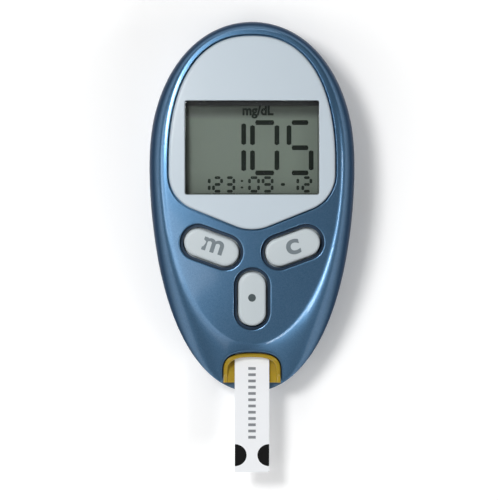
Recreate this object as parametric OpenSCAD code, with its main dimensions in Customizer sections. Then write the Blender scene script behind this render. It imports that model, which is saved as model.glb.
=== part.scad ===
// Blood glucose meter lying on its back, in millimetres.
// +Z leaves the face, +Y points to the display end, -Y to the end that takes the test strip.
// The origin is on the flat back, at the middle of the case.

/* [Case] */
// Width of the case across its widest line
case_w = 41; // [40.5:0.5:42]
// Length of the case from the display end to the port end
case_l = 74; // [74:0.5:75]
// Height of the case from the flat back to the top of the face panel
case_h = 17; // [17:0.25:17.5]
// Distance of the widest line from the middle, towards the display end
widest_y = 8; // [7.5:0.25:8.5]
// Height of the joint between the front and the rear cover
split_z = 8; // [8:0.1:8.2]
// Radius of the domed face
dome_r = 170; // [160:5:200]
// Thickness of the side walls
wall = 1.6; // [1.4:0.1:1.7]
// Thickness of the domed roof under the face
roof = 1.9; // [1.8:0.1:2]

/* [Face panel] */
// Width of the shield-shaped face panel
panel_w = 33.1; // [32:0.1:33.2]
// Thickness of the face panel
panel_t = 1; // [0.9:0.05:1]
// How far the panel stands proud of the case
panel_proud = 0.2; // [0.1:0.05:0.25]
// Width of the display window
window_w = 26.7; // [25:0.1:27]
// Height of the display window along Y
window_l = 18.7; // [18:0.1:19]
// Middle of the display window along Y
window_y = 11.75; // [11.5:0.05:12]

/* [Keys] */
// Length of a side key
side_key_l = 11.2; // [10.5:0.1:11.5]
// Length of the centre key
centre_key_l = 10.7; // [10:0.1:10.8]
// Width of every key
key_w = 5.5; // [5:0.1:5.6]
// Tilt of a side key against the X axis
side_key_tilt = 20; // [15:1:25]
// How far the keys stand proud of the dome
key_proud = 0.7; // [0.4:0.1:0.9]
// Stroke of a key
key_stroke = 0.8; // [0.5:0.1:0.8]

/* [Battery] */
// Diameter of the coin cell
cell_d = 20; // [20]
// Thickness of the coin cell
cell_t = 3.2; // [3.2]
// Middle of the coin cell along Y
cell_y = 15; // [15:0.1:15.2]
// Width of the battery door
door_w = 21.8; // [21.8:0.1:22]
// Thickness of the battery door
door_t = 1.4; // [1.3:0.05:1.4]

/* [Test strip] */
// Width of the test strip
strip_w = 6.9; // [6:0.1:7]
// Length of the test strip
strip_l = 30; // [28:0.5:34]
// Thickness of the test strip's three films together
strip_t = 0.6; // [0.6]
// Place of the inner end of the strip along Y
strip_inner_y = -23; // [-23:0.1:-22.9]

/* [Hidden] */

$fn = 64;
eps = 0.01;
slit = 0.15;                       // running gap between two pieces that must not touch
sphere_fn = 256;                   // the dome is large, so its sphere is drawn finely
crown_z = case_h - panel_proud;    // top of the dome
dome_centre_z = crown_z - dome_r;

// The outline of the case: two half superellipses that meet on the widest line.
egg_n = 2.1;
egg = [case_w / 2, case_l / 2 - widest_y, case_l / 2 + widest_y, egg_n, egg_n];
// The edge of the domed plateau, where the rounded shoulder begins.
plateau = [panel_w / 2 + 0.55, 26.9, 35.3, 2.4, 2];
plateau_inset = 1.2;               // the plateau inside the shell is smaller by this
shoulder_n = 2.3;                  // exponent of the rounded shoulder
tail_n = 1.2;                      // at the port end it is a crisp edge, with this exponent
tail_spread = 1.5;                 // and changes towards the sides with this power of the sine
// The flat back is smaller than the case, and the flank between them is rounded.
back = [case_w / 2 - 6, case_l / 2 - widest_y - 5.5, case_l / 2 + widest_y - 7, egg_n, egg_n];
back_n = 2.2;
back_inset = 0.8;                  // the floor inside the rear cover is smaller by this
floor_z = 1.5;                     // inner face of the rear cover's floor
shoulder_steps = [0, 0.2, 0.36, 0.5, 0.62, 0.72, 0.81, 0.88, 0.935, 0.972, 0.992, 1];
flank_steps = [0, 0.25, 0.45, 0.6, 0.73, 0.83, 0.91, 0.96, 0.988, 1];
inner_steps = [0, 0.3, 0.55, 0.75, 0.88, 0.96, 0.985, 1];
plateau_steps = [0.15, 0.4, 0.65, 0.85];
turn_steps = 72;                   // points round the outline

// Levels of the stack, from the back up
cell_z = 1.9;
ceiling_z = 5.4;                   // underside of the battery compartment's ceiling
ceiling_t = 0.8;
board_z = 6.6;
board_t = 1;
board_top = board_z + board_t;
board_end_y = -28.9;
mat_t = 0.4;
dome_h = 2 * key_stroke;           // height of a rubber key dome, which collapses by half
plunger_z = board_top + mat_t + dome_h;
lcd_z = 11.4;                      // underside of the rear polariser
glass_t = 0.7;
film_t = 0.2;
lcd_top = lcd_z + 2 * glass_t + 2 * film_t;

// The joint's lip stands on the rear cover and enters the front cover, except towards the port,
// where the front cover slopes in from the joint.
lip_inset = wall + slit;
lip_t = 0.7;
lip_h = 0.9;
lip_end_y = -11;
board_inset = lip_inset + lip_t + 0.35;

// Screws: two under the battery door, two at the port end
screw_r = 0.95;
screw_head_r = 1.7;
screw_head_t = 1.1;
post_r = 2.2;
// Each place is X, Y, seat of the head, end of the shank
screws = [
  [8.5, 29, 3, 11.6], [-8.5, 29, 3, 11.6],
  [9.2, -24, 2.6, 10.2], [-9.2, -24, 2.6, 10.2]
];

// The keys' places: X, Y, turn, length
left_key = [-8.06, -8.05, -side_key_tilt, side_key_l];
right_key = [8.06, -8.05, side_key_tilt, side_key_l];
centre_key = [0, -18.3, 90, centre_key_l];
keys = [left_key, right_key, centre_key];
key_gap = 0.3;                     // gap between a key and its hole
well_lip = 1.15;                   // the well round a key is wider than the key by this
well_depth = 0.7;
flange_rim = 0.9;                  // a key's flange is wider than the key by this
flange_t = 0.8;
plunger_r = 1.7;

// Face panel
panel_top = 26;                    // from the widest line to the panel's upper edge
panel_top_n = 2.36;
panel_tip_y = -4.5;
panel_corner_r = 7.5;
panel_tip_r = 9;
panel_slope = 22;                  // slope of the two lower edges
recess_gap = 0.3;                  // gap between the panel and the edge of its recess
glue_t = 0.15;
recess_depth = panel_t + glue_t - panel_proud;
light_shaft = 0.3;                 // the hole in the cover is wider than the window by this
pane_top = 0.1;                    // the pane's face lies this far under the dome
pane_rim = 0.6;                    // the pane's foot, under the panel, is wider than the window by this
pane_rim_top = 0.4;                // and its top lies this far under the dome

gasket_nip = 0.1;                  // the gasket ends this far under the roof
gasket_rim = 1.3;                  // its outer edge lies this far outside the window
gasket_show = 0.3;                 // and its inner edge this far inside, as a dark line
gasket_top_show = 1.0;             // which is wider along the upper edge

// Strip mouth and its amber liner
mouth_w = 11.8;
mouth_top_y = -29;                 // crown of the arch
mouth_side_y = -31;                // where the arch meets the sides
liner_t = 1;
liner_side_t = 0.5;
liner_floor_z = 7;
liner_floor_top = 8.1;
liner_wall_top = 10.4;
liner_side_top = 9;
liner_end_y = -35.1;
strip_z = 8.2;
film = strip_t / 3;
slot_w = strip_w + 0.5;
strip_outer_y = strip_inner_y - strip_l;

// Battery compartment and door
cell_r = cell_d / 2;
pocket_r = cell_r + 0.3;
pocket_wall = 1;
door_y = 3.4;                      // inner end of the door
door_lip_t = 1;                    // floor of the pocket between cell and door
rail_w = 0.6;
rail_t = 0.45;
rail_z = 0.75;

// Label plate on the back
label_recess = 0.25;
label_t = 0.2;

// Spring contacts of the strip connector
contact_pitch = 1.6;
contact_w = 0.5;
connector_inner_y = -21.3;
connector_top = 9.5;
contact_slot_top = 9.1;

// Data jack on the right side
jack_y = 0;
jack_z = 4.3;
jack_r = 1.3;
jack_nose_r = 2;
jack_block_x = 15.6;
jack_block_z = 2.5;                // underside of its housing
jack_face_x = 17.2;
jack_depth = 11;

case_blue = [0.30, 0.43, 0.54];
case_dark = [0.22, 0.31, 0.40];
panel_grey = [0.74, 0.79, 0.81];
key_grey = [0.77, 0.80, 0.81];
amber = [0.80, 0.68, 0.20];

// ---- Outlines ----

// A point of a double superellipse [half width, upper, lower, upper exponent, lower exponent].
function oval_point(o, a) =
  let (c = cos(a), s = sin(a), n = s >= 0 ? o[3] : o[4], b = s >= 0 ? o[1] : o[2])
  [o[0] * sign(c) * pow(abs(c), 2 / n), widest_y + b * sign(s) * pow(abs(s), 2 / n)];

function inset(o, d) = [o[0] - d, o[1] - d, o[2] - d, o[3], o[4]];

function oval(o, steps = turn_steps) = [for (i = [0 : steps - 1]) oval_point(o, i * 360 / steps)];

// Points on a circle's arc, from one angle to the other.
function arc(centre, r, from, to, steps) =
  [for (i = [0 : steps]) let (a = from + (to - from) * i / steps) centre + r * [cos(a), sin(a)]];

// The shield: superelliptic top, straight sides, two round corners, sloping edges, round tip.
function shield_right(o) =
  let (
    half_w = panel_w / 2 + o,
    corner_r = panel_corner_r + o,
    tip_r = panel_tip_r + o,
    tip_y = panel_tip_y - o,
    c = cos(panel_slope),
    s = sin(panel_slope),
    corner_y = (s * (half_w - corner_r) + corner_r - tip_r + c * (tip_y + tip_r)) / c
  )
  concat(
    arc([0, tip_y + tip_r], tip_r, -90, panel_slope - 90, 4),
    arc([half_w - corner_r, corner_y], corner_r, panel_slope - 90, 0, 12),
    [for (i = [0 : 24]) oval_point([half_w, panel_top + o, 1, panel_top_n, 2], i * 3.75)]
  );

function shield(o) =
  let (right = shield_right(o), last = len(right) - 1)
  concat(right, [for (i = [last - 1 : -1 : 1]) [-right[i][0], right[i][1]]]);

// A stadium of full length l and width w along X.
module stadium(l, w) {
  square([l - w, w], center = true);
  for (side = [-1, 1]) translate([side * (l - w) / 2, 0]) circle(d = w);
}

// The stadium of one key, wider than the key by o.
module key_outline(key, o = 0) {
  translate([key[0], key[1]]) rotate(key[2]) stadium(key[3] + 2 * o, key_w + 2 * o);
}

// The arched mouth seen from the front, narrower by o.
module mouth_outline(o = 0) {
  half_w = mouth_w / 2 - o;
  rise = mouth_top_y - mouth_side_y;
  arch_r = (pow(mouth_w / 2, 2) + pow(rise, 2)) / (2 * rise);
  intersection() {
    translate([-half_w, -case_l / 2 - 2]) square([2 * half_w, case_l / 2 + 2 + mouth_top_y]);
    union() {
      translate([0, mouth_top_y - arch_r]) circle(r = arch_r - o, $fn = 128);
      translate([-half_w, -case_l / 2 - 2]) square([2 * half_w, 8]);
    }
  }
}

// ---- Surfaces ----

// Height of the dome over a point of the face.
function dome_at(p) =
  dome_centre_z + sqrt(pow(dome_r, 2) - pow(p[0], 2) - pow(p[1] - widest_y, 2));

function between(p, q, t) = p * (1 - t) + q * t;

// The exponent of the shoulder at point i of the outline.
function shoulder_power(i) =
  shoulder_n - (shoulder_n - tail_n) * pow(max(0, -sin(i * 360 / turn_steps)), tail_spread);

// One ring of the front shell: from the plateau (t = 0) over the shoulder to the joint (t = 1).
function shoulder_ring(inner, outer, t, drop) =
  [for (i = [0 : turn_steps - 1])
    let (p = between(inner[i], outer[i], t), n = shoulder_power(i))
    [p[0], p[1], split_z + (dome_at(p) - drop - split_z) * pow(max(0, 1 - pow(t, n)), 1 / n)]];

// One ring of the plateau, drawn towards its middle by k.
function plateau_ring(inner, k, drop) =
  [for (q = inner) let (p = [q[0] * k, widest_y + (q[1] - widest_y) * k]) [p[0], p[1], dome_at(p) - drop]];

// One ring of the rear flank: from the flat back (t = 0) up to the joint (t = 1).
function flank_ring(inner, outer, t, low) =
  [for (i = [0 : turn_steps - 1])
    let (p = between(inner[i], outer[i], t))
    [p[0], p[1], low + (split_z - low) * (1 - pow(max(0, 1 - pow(t, back_n)), 1 / back_n))]];

function flat_ring(points, z) = [for (p = points) [p[0], p[1], z]];

// A closed solid through rings that are stacked upwards and have equally many points.
module loft(rings) {
  n = len(rings[0]);
  points = [for (ring = rings) each ring];
  faces = concat(
    [[for (i = [0 : n - 1]) i]],
    [for (r = [0 : len(rings) - 2]) for (i = [0 : n - 1])
      let (j = (i + 1) % n) each [
        [r * n + i, (r + 1) * n + i, (r + 1) * n + j],
        [r * n + i, (r + 1) * n + j, r * n + j]
      ]],
    [[for (i = [n - 1 : -1 : 0]) (len(rings) - 1) * n + i]]
  );
  polyhedron(points, faces, convexity = 4);
}

// The front shell's solid: shoulder and dome over the joint, going down by skirt below it.
module front_solid(edge, top, drop, steps, skirt = 0) {
  outer = oval(edge);
  inner = oval(top);
  loft(concat(
    skirt > 0 ? [flat_ring(outer, split_z - skirt)] : [],
    [for (i = [len(steps) - 1 : -1 : 0]) shoulder_ring(inner, outer, steps[i], drop)],
    [for (i = [len(plateau_steps) - 1 : -1 : 0]) plateau_ring(inner, plateau_steps[i], drop)]
  ));
}

module front_outer() {
  front_solid(egg, plateau, 0, shoulder_steps);
}

// The rear shell's solid: flat back, rounded flank, and straight above the joint by rise.
module rear_solid(edge, foot, low, steps, rise = 0) {
  outer = oval(edge);
  inner = oval(foot);
  loft(concat(
    [for (t = steps) flank_ring(inner, outer, t, low)],
    rise > 0 ? [flat_ring(outer, split_z + rise)] : []
  ));
}

module rear_outer() {
  rear_solid(egg, back, 0, flank_steps);
}

// Everything under the dome lowered by drop.
module under_dome(drop) {
  translate([0, widest_y, dome_centre_z]) sphere(r = dome_r - drop, $fn = sphere_fn);
}

// A prism of the child outline, cut by the dome lowered by top_drop and by bottom_drop.
module dome_slab(top_drop, bottom_drop) {
  difference() {
    intersection() {
      translate([0, 0, split_z]) linear_extrude(case_h) children();
      under_dome(top_drop);
    }
    under_dome(bottom_drop);
  }
}

// The prism of the child outline above the dome lowered by drop.
module above_dome(drop) {
  difference() {
    translate([0, 0, split_z]) linear_extrude(case_h) children();
    under_dome(drop);
  }
}

// An upright box given by its corners.
module block(low, high) {
  translate(low) cube(high - low);
}

module window_outline(o = 0) {
  translate([-window_w / 2 - o, window_y - window_l / 2 - o])
    square([window_w + 2 * o, window_l + 2 * o]);
}

// ---- Case ----

module screw_holes(r, low, high, places = screws) {
  for (s = places) translate([s[0], s[1], low]) cylinder(r = r, h = high - low);
}

module front_cover() {
  color(case_blue) difference() {
    union() {
      difference() {
        front_outer();
        front_solid(inset(egg, wall), inset(plateau, plateau_inset), roof, inner_steps, 1);
      }
      intersection() {
        front_outer();
        for (s = screws) translate([s[0], s[1], split_z]) cylinder(r = post_r, h = s[3] - split_z + 2);
      }
      for (s = screws) translate([s[0], s[1], board_top + 0.05]) cylinder(r = post_r, h = 1);
    }
    for (s = screws)
      translate([s[0], s[1], board_top - 1]) cylinder(r = screw_r + 0.05, h = s[3] + 0.4 - board_top + 1);
    above_dome(recess_depth) polygon(shield(recess_gap));
    translate([0, 0, split_z]) linear_extrude(case_h) window_outline(light_shaft);
    for (key = keys) {
      translate([0, 0, split_z]) linear_extrude(case_h) key_outline(key, key_gap);
      above_dome(well_depth) key_outline(key, well_lip);
    }
    translate([0, 0, split_z - 1]) linear_extrude(case_h) mouth_outline();
  }
}

module rear_cover() {
  color(case_dark) difference() {
    union() {
      difference() {
        rear_outer();
        rear_solid(inset(egg, wall), inset(back, back_inset), floor_z, inner_steps, 1);
      }
      lip();
      rear_fittings();
    }
    door_slot();
    cell_pocket();
    screw_holes(screw_r + 0.2, -1, board_z);
    for (s = screws) translate([s[0], s[1], -1]) cylinder(r = screw_head_r + 0.2, h = s[2] + 1);
    translate([jack_block_x + 0.2, jack_y, jack_z]) rotate([0, 90, 0])
      cylinder(r = jack_nose_r + 0.2, h = 6);
    translate([0, 0, -1]) linear_extrude(1 + label_recess) label_outline(slit);
    translate([0, 0, liner_floor_z - slit]) linear_extrude(case_h) mouth_outline();
  }
}

// The lip that centres the two covers, on a ledge that is open at the strip mouth.
module lip() {
  difference() {
    translate([0, 0, split_z - 1]) linear_extrude(1) difference() {
      polygon(oval(inset(egg, wall - 0.1)));
      polygon(oval(inset(egg, lip_inset + lip_t)));
    }
    block([-mouth_w / 2 - 0.3, -case_l / 2, split_z - 2], [mouth_w / 2 + 0.3, -28, split_z + 2]);
  }
  translate([0, 0, split_z - eps]) linear_extrude(lip_h + eps) difference() {
    polygon(oval(inset(egg, lip_inset)));
    polygon(oval(inset(egg, lip_inset + lip_t)));
    translate([-case_w / 2, -case_l / 2]) square([case_w, case_l / 2 + lip_end_y]);
    for (s = screws) translate([s[0], s[1]]) circle(r = post_r + slit);
  }
}

// Posts, ribs and the battery compartment inside the rear cover.
module rear_fittings() {
  intersection() {
    rear_outer();
    union() {
      for (s = screws) translate([s[0], s[1], 0.5]) cylinder(r = post_r + 0.2, h = board_z - 0.55);
      translate([0, cell_y, floor_z - eps])
        cylinder(r = pocket_r + pocket_wall, h = ceiling_z + ceiling_t - floor_z);
      block([-door_w / 2 - 1.6, door_y - 1.4, floor_z - eps],
        [door_w / 2 + 1.6, case_l / 2, door_t + door_lip_t]);
      block([-7.5, -31, floor_z - eps], [7.5, -30, liner_floor_z - 0.05]);
      block([-6, -20.4, floor_z - eps], [6, -19.6, board_z - 0.05]);
    }
  }
}

// The space of the door: a flat slot, open at the display end, with a groove on each side.
module door_slot() {
  block([-door_w / 2 - slit, door_y - slit, -1], [door_w / 2 + slit, case_l, door_t]);
  block([-door_w / 2 - rail_w - 2 * slit, door_y + 1, rail_z - slit],
    [door_w / 2 + rail_w + 2 * slit, case_l, rail_z + rail_t + slit]);
  block([-4 - slit, door_y - 1.2, rail_z - slit], [4 + slit, door_y, rail_z + rail_t + slit]);
}

// The cell's pocket, with openings for both contacts in its ceiling and wall.
module cell_pocket() {
  translate([0, cell_y, 0]) cylinder(r = pocket_r, h = ceiling_z);
  block([-3, cell_y - 4, ceiling_z - 1], [3, cell_y + 4, board_z]);
  block([-2.3, cell_y + cell_r - 0.4, cell_z], [2.3, cell_y + cell_r + 0.8, board_z]);
}

module label_outline(o = 0) {
  translate([-9 - o, -21 - o]) square([18 + 2 * o, 17 + 2 * o]);
}

module rear_label() {
  color([0.80, 0.82, 0.83])
    translate([0, 0, label_recess - label_t]) linear_extrude(label_t) label_outline();
}

module face_panel() {
  color(panel_grey) difference() {
    dome_slab(-panel_proud, panel_t - panel_proud) difference() {
      polygon(shield(0));
      window_outline();
    }
    dome_slab(pane_rim_top - eps, panel_t) window_outline(pane_rim + slit);
  }
}

module panel_adhesive() {
  color([0.85, 0.85, 0.83]) dome_slab(panel_t - panel_proud, recess_depth) difference() {
    polygon(shield(-0.4));
    window_outline(light_shaft);
  }
}

// The pane fills the window, and its foot is held between the panel and the ledge of the case.
module display_window() {
  color([0.85, 0.90, 0.92, 0.4]) union() {
    dome_slab(pane_top, panel_t - panel_proud) window_outline(-0.05);
    dome_slab(pane_rim_top, panel_t - panel_proud) window_outline(pane_rim);
  }
}

module display_gasket() {
  color([0.15, 0.15, 0.16]) intersection() {
    translate([0, 0, lcd_top]) linear_extrude(3) difference() {
      window_outline(gasket_rim);
      intersection() {
        window_outline(-gasket_show);
        translate([0, gasket_show - gasket_top_show]) window_outline(-gasket_show);
      }
    }
    under_dome(roof + gasket_nip);
  }
}

module port_light_lens() {
  color(amber) difference() {
    union() {
      translate([0, 0, liner_floor_z]) linear_extrude(liner_floor_top - liner_floor_z) intersection() {
        mouth_outline(slit);
        translate([-case_w / 2, liner_end_y]) square([case_w, case_l / 2]);
      }
      translate([0, 0, liner_floor_z]) linear_extrude(liner_wall_top - liner_floor_z)
        difference() {
          mouth_outline(slit);
          mouth_outline(slit + liner_t);
          translate([-case_w / 2, -case_l / 2 - 3]) square([case_w, case_l / 2 + 3 + mouth_side_y]);
        }
      for (side = [-1, 1]) {
        x = side * (mouth_w / 2 - slit - liner_side_t / 2);
        translate([x, 0, 0])
          block([-liner_side_t / 2, -33.6, liner_floor_z],
            [liner_side_t / 2, mouth_side_y + 0.4, liner_side_top]);
        block([side > 0 ? 5 : -7.2, -31.1, liner_floor_z], [side > 0 ? 7.2 : -5, -29.7, 7.9]);
      }
    }
    block([-slot_w / 2, -32, strip_z - 0.1], [slot_w / 2, -28, strip_z + strip_t + 0.2]);
  }
}

module battery_door() {
  color(case_dark) union() {
    intersection() {
      rear_outer();
      block([-door_w / 2, door_y, 0], [door_w / 2, case_l / 2, door_t - 0.1]);
    }
    for (side = [-1, 1])
      block([side > 0 ? door_w / 2 - 1 : -door_w / 2 - rail_w, door_y + 1.2, rail_z],
        [side > 0 ? door_w / 2 + rail_w : 1 - door_w / 2, 27, rail_z + rail_t]);
    block([-4, door_y - 0.9, rail_z], [4, door_y + 1, rail_z + rail_t]);
  }
}

module case_screws() {
  color([0.70, 0.71, 0.73]) for (s = screws) translate([s[0], s[1], 0]) {
    difference() {
      translate([0, 0, s[2] - screw_head_t]) cylinder(r = screw_head_r, h = screw_head_t);
      for (turn = [0, 90]) rotate(turn)
        translate([-1, -0.18, s[2] - screw_head_t - eps]) cube([2, 0.36, 0.5]);
    }
    translate([0, 0, s[2] - eps]) cylinder(r = screw_r, h = s[3] - s[2]);
  }
}

// ---- Keys ----

module key_cap(key) {
  color(key_grey) union() {
    dome_slab(-key_proud, roof + slit + flange_t) key_outline(key);
    dome_slab(roof + slit, roof + slit + flange_t) key_outline(key, flange_rim);
    translate([key[0], key[1], plunger_z])
      cylinder(r = plunger_r, h = dome_at(key) - roof - flange_t / 2 - plunger_z);
  }
}

module left_button() {
  key_cap(left_key);
}

module right_button() {
  key_cap(right_key);
}

module centre_button() {
  key_cap(centre_key);
}

module keypad_mat() {
  color([0.60, 0.62, 0.63]) translate([0, 0, board_top]) linear_extrude(mat_t) union() {
    translate([-13, -13]) square([26, 11]);
    translate([-4, -21.1]) square([8, 9]);
  }
}

// A rubber dome: a hollow cone with a firm top.
module key_dome(key) {
  color([0.60, 0.62, 0.63]) translate([key[0], key[1], board_top + mat_t]) difference() {
    cylinder(r1 = 2.6, r2 = 1.9, h = dome_h);
    translate([0, 0, -eps]) cylinder(r1 = 2.1, r2 = 1.5, h = dome_h - 0.5);
  }
}

module key_dome_left() {
  key_dome(left_key);
}

module key_dome_right() {
  key_dome(right_key);
}

module key_dome_centre() {
  key_dome(centre_key);
}

// ---- Display ----

// A sheet of the display, between two heights, from low to high along Y.
module display_sheet(half_w, low_y, high_y, z, t) {
  block([-half_w, low_y, z], [half_w, high_y, z + t]);
}

module lcd_rear_polarizer() {
  color([0.62, 0.66, 0.62]) display_sheet(13.9, 1.7, 21.6, lcd_z, film_t);
}

module lcd_rear_glass() {
  color([0.70, 0.76, 0.72]) display_sheet(14.1, 1.4, 21.8, lcd_z + film_t, glass_t);
}

module lcd_front_glass() {
  color([0.70, 0.76, 0.72]) display_sheet(14.1, 1.4, 23, lcd_z + film_t + glass_t, glass_t);
}

module lcd_front_polarizer() {
  color([0.42, 0.46, 0.42]) display_sheet(13.9, 1.7, 22.5, lcd_z + film_t + 2 * glass_t, film_t);
}

module backlight_panel() {
  color([0.90, 0.93, 0.92]) display_sheet(14, 1.5, 21.6, 10.1, lcd_z - 10.1);
}

module backlight_led() {
  color([0.95, 0.95, 0.85]) block([-1.2, 2.5, board_top], [1.2, 3.7, board_top + 0.8]);
}

module elastomer_connector() {
  color([0.25, 0.25, 0.26]) display_sheet(13, 21.95, 22.95, board_top, lcd_z + film_t + glass_t - board_top);
}

module lcd_holder() {
  color([0.88, 0.89, 0.88]) difference() {
    translate([0, 0, board_top]) linear_extrude(4.6) polygon([
      [-15, 0.5], [15, 0.5], [15, 21.2], [12.6, 23.7], [-12.6, 23.7], [-15, 21.2]
    ]);
    block([-14.2, 1.3, 10.1], [14.2, 23.05, 14]);
    block([-13.2, 2.2, 7], [13.2, 21, 14]);
    block([-13.15, 21.85, 7], [13.15, 23.05, 14]);
  }
}

// ---- Electronics ----

module main_board() {
  color([0.12, 0.36, 0.24]) difference() {
    translate([0, 0, board_z]) linear_extrude(board_t) intersection() {
      polygon(oval(inset(egg, board_inset)));
      translate([-case_w / 2, board_end_y]) square([case_w, case_l]);
    }
    screw_holes(screw_r + 0.25, board_z - 1, board_top + 1);
  }
}

module processor_chip() {
  color([0.12, 0.12, 0.13]) block([-5, 8, board_top], [5, 18, board_top + 1]);
}

module memory_chip() {
  color([0.12, 0.12, 0.13]) block([7, 4.5, board_top], [12, 8.5, board_top + 0.9]);
}

module analog_chip() {
  color([0.12, 0.12, 0.13]) block([-2.5, -27, board_z - 0.9], [2.5, -22, board_z]);
}

module clock_crystal() {
  color([0.78, 0.78, 0.76]) translate([-12, 6, board_top + 1]) rotate([0, 90, 0]) cylinder(r = 0.99, h = 6);
}

// Small resistors and capacitors on both sides of the board.
module board_passives() {
  color([0.62, 0.50, 0.36]) {
    for (i = [0 : 4]) block([-11 + i * 1.8, -15, board_z - 0.5], [-10.2 + i * 1.8, -13.4, board_z]);
    for (i = [0 : 3]) block([3 + i * 1.8, -15, board_z - 0.5], [3.8 + i * 1.8, -13.4, board_z]);
    for (i = [0 : 3]) block([7.2 + i * 1.4, 12, board_top], [8 + i * 1.4, 13.6, board_top + 0.5]);
    for (i = [0 : 3]) block([-11.4 + i * 1.4, 12, board_top], [-10.6 + i * 1.4, 13.6, board_top + 0.5]);
  }
}

module beeper() {
  color([0.15, 0.15, 0.16]) difference() {
    translate([-9, -4.5, board_z - 2.5]) cylinder(d = 9, h = 2.5);
    translate([-9, -4.5, board_z - 3]) cylinder(d = 1.6, h = 1.5);
  }
}

module port_leds() {
  color([0.95, 0.90, 0.70]) for (side = [-1, 1])
    translate([side * 6.6 - 0.8, -28.5, board_top]) cube([1.6, 0.9, 0.7]);
}

module contact_places() {
  for (i = [-1.5 : 1 : 1.5]) translate([i * contact_pitch, 0, 0]) children();
}

module strip_connector() {
  color([0.90, 0.88, 0.82]) difference() {
    block([-5.5, -29, board_top], [5.5, connector_inner_y, connector_top]);
    block([-slot_w / 2, -30, strip_z - 0.1], [slot_w / 2, strip_inner_y + 0.3, strip_z + strip_t + 0.1]);
    contact_places()
      block([-contact_w / 2 - slit, -27.6, board_top - 1], [contact_w / 2 + slit, -21.7, contact_slot_top]);
  }
}

// Each contact stands on the board behind the strip and reaches forward over it.
module strip_contacts() {
  reach = strip_z + 2 * film + 0.02;
  color([0.85, 0.72, 0.40]) contact_places() union() {
    block([-contact_w / 2, -22.3, board_top], [contact_w / 2, -22, reach + 0.2]);
    block([-contact_w / 2, -26.8, reach], [contact_w / 2, -22, reach + 0.2]);
  }
}

module data_jack() {
  color([0.14, 0.14, 0.15]) difference() {
    union() {
      block([5, jack_y - 2.6, jack_block_z], [jack_block_x, jack_y + 2.6, board_z]);
      translate([jack_block_x - eps, jack_y, jack_z]) rotate([0, 90, 0])
        cylinder(r = jack_nose_r, h = jack_face_x - jack_block_x + eps);
    }
    translate([jack_face_x - jack_depth, jack_y, jack_z]) rotate([0, 90, 0])
      cylinder(r = jack_r, h = jack_depth + 1);
  }
}

// Solder tails of the jack, outside its housing.
module data_jack_contacts() {
  color([0.80, 0.76, 0.60]) for (x = [7, 10.5, 14])
    block([x - 0.4, jack_y - 3.4, board_z - 0.8], [x + 0.4, jack_y - 2.6, board_z]);
}

// ---- Power ----

module battery_cell() {
  color([0.78, 0.79, 0.80]) translate([0, cell_y, cell_z]) union() {
    cylinder(r = cell_r, h = cell_t - 0.3);
    cylinder(r = cell_r - 1.1, h = cell_t);
  }
}

module battery_positive_clip() {
  color([0.82, 0.80, 0.72]) union() {
    block([-2, cell_y + cell_r + 0.03, 2.4], [2, cell_y + cell_r + 0.3, board_z]);
    block([-2, cell_y + cell_r + 0.03, board_z - 0.3], [2, cell_y + cell_r + 0.7, board_z]);
  }
}

// A bent leaf: its foot lies on the board, its tongue touches the cell.
module battery_negative_spring() {
  color([0.82, 0.80, 0.72]) union() {
    block([-1.5, cell_y - 3, board_z - 0.2], [1.5, cell_y + 3, board_z]);
    block([-1.5, cell_y + 2.8, cell_z + cell_t], [1.5, cell_y + 3, board_z]);
    block([-1.5, cell_y - 1.5, cell_z + cell_t], [1.5, cell_y + 3, cell_z + cell_t + 0.2]);
  }
}

// A film over the cell, folded down along its rim so that the cell can be lifted out.
module battery_pull_tab() {
  tab_z = cell_z + cell_t - 0.28;
  color([0.25, 0.45, 0.75]) translate([0, cell_y, 0]) union() {
    translate([0, 0, 2]) rotate([0, 0, 215]) rotate_extrude(angle = 28)
      translate([cell_r + 0.05, 0]) square([0.15, tab_z + 0.12 - 2]);
    translate([0, 0, tab_z]) rotate([0, 0, 215]) rotate_extrude(angle = 28)
      translate([cell_r - 1.05, 0]) square([1.25, 0.12]);
  }
}

// ---- Test strip ----

// One film of the strip, from out to the inner end.
module strip_film(z, from, to, w = strip_w) {
  block([-w / 2, from, z], [w / 2, to, z + film]);
}

module strip_base() {
  color([0.93, 0.93, 0.92]) strip_film(strip_z, strip_outer_y, strip_inner_y);
}

module strip_electrodes() {
  color([0.30, 0.30, 0.31]) for (i = [-1.5 : 1 : 1.5])
    translate([i * contact_pitch, 0, 0]) strip_film(strip_z + film, -27.5, strip_inner_y, 0.9);
}

module strip_spacer() {
  color([0.90, 0.90, 0.88]) strip_film(strip_z + film, strip_outer_y, -27.5);
}

module strip_top_film() {
  color([0.96, 0.96, 0.95]) strip_film(strip_z + 2 * film, strip_outer_y, -27.5);
}

front_cover();
rear_cover();
face_panel();
panel_adhesive();
display_window();
display_gasket();
port_light_lens();
battery_door();
rear_label();
case_screws();
left_button();
right_button();
centre_button();
keypad_mat();
key_dome_left();
key_dome_right();
key_dome_centre();
lcd_front_polarizer();
lcd_front_glass();
lcd_rear_glass();
lcd_rear_polarizer();
lcd_holder();
backlight_panel();
backlight_led();
elastomer_connector();
main_board();
processor_chip();
memory_chip();
analog_chip();
clock_crystal();
board_passives();
beeper();
port_leds();
strip_connector();
strip_contacts();
data_jack();
data_jack_contacts();
battery_cell();
battery_positive_clip();
battery_negative_spring();
battery_pull_tab();
strip_base();
strip_electrodes();
strip_spacer();
strip_top_film();
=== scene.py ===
"""Blood glucose meter lying on its back, a test strip in its port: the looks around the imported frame.

Every piece is worked out in millimetres in the frame of the CAD part: +Z leaves the face, +Y points to the
display end, and the strip leaves towards -Y.
"""

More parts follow.
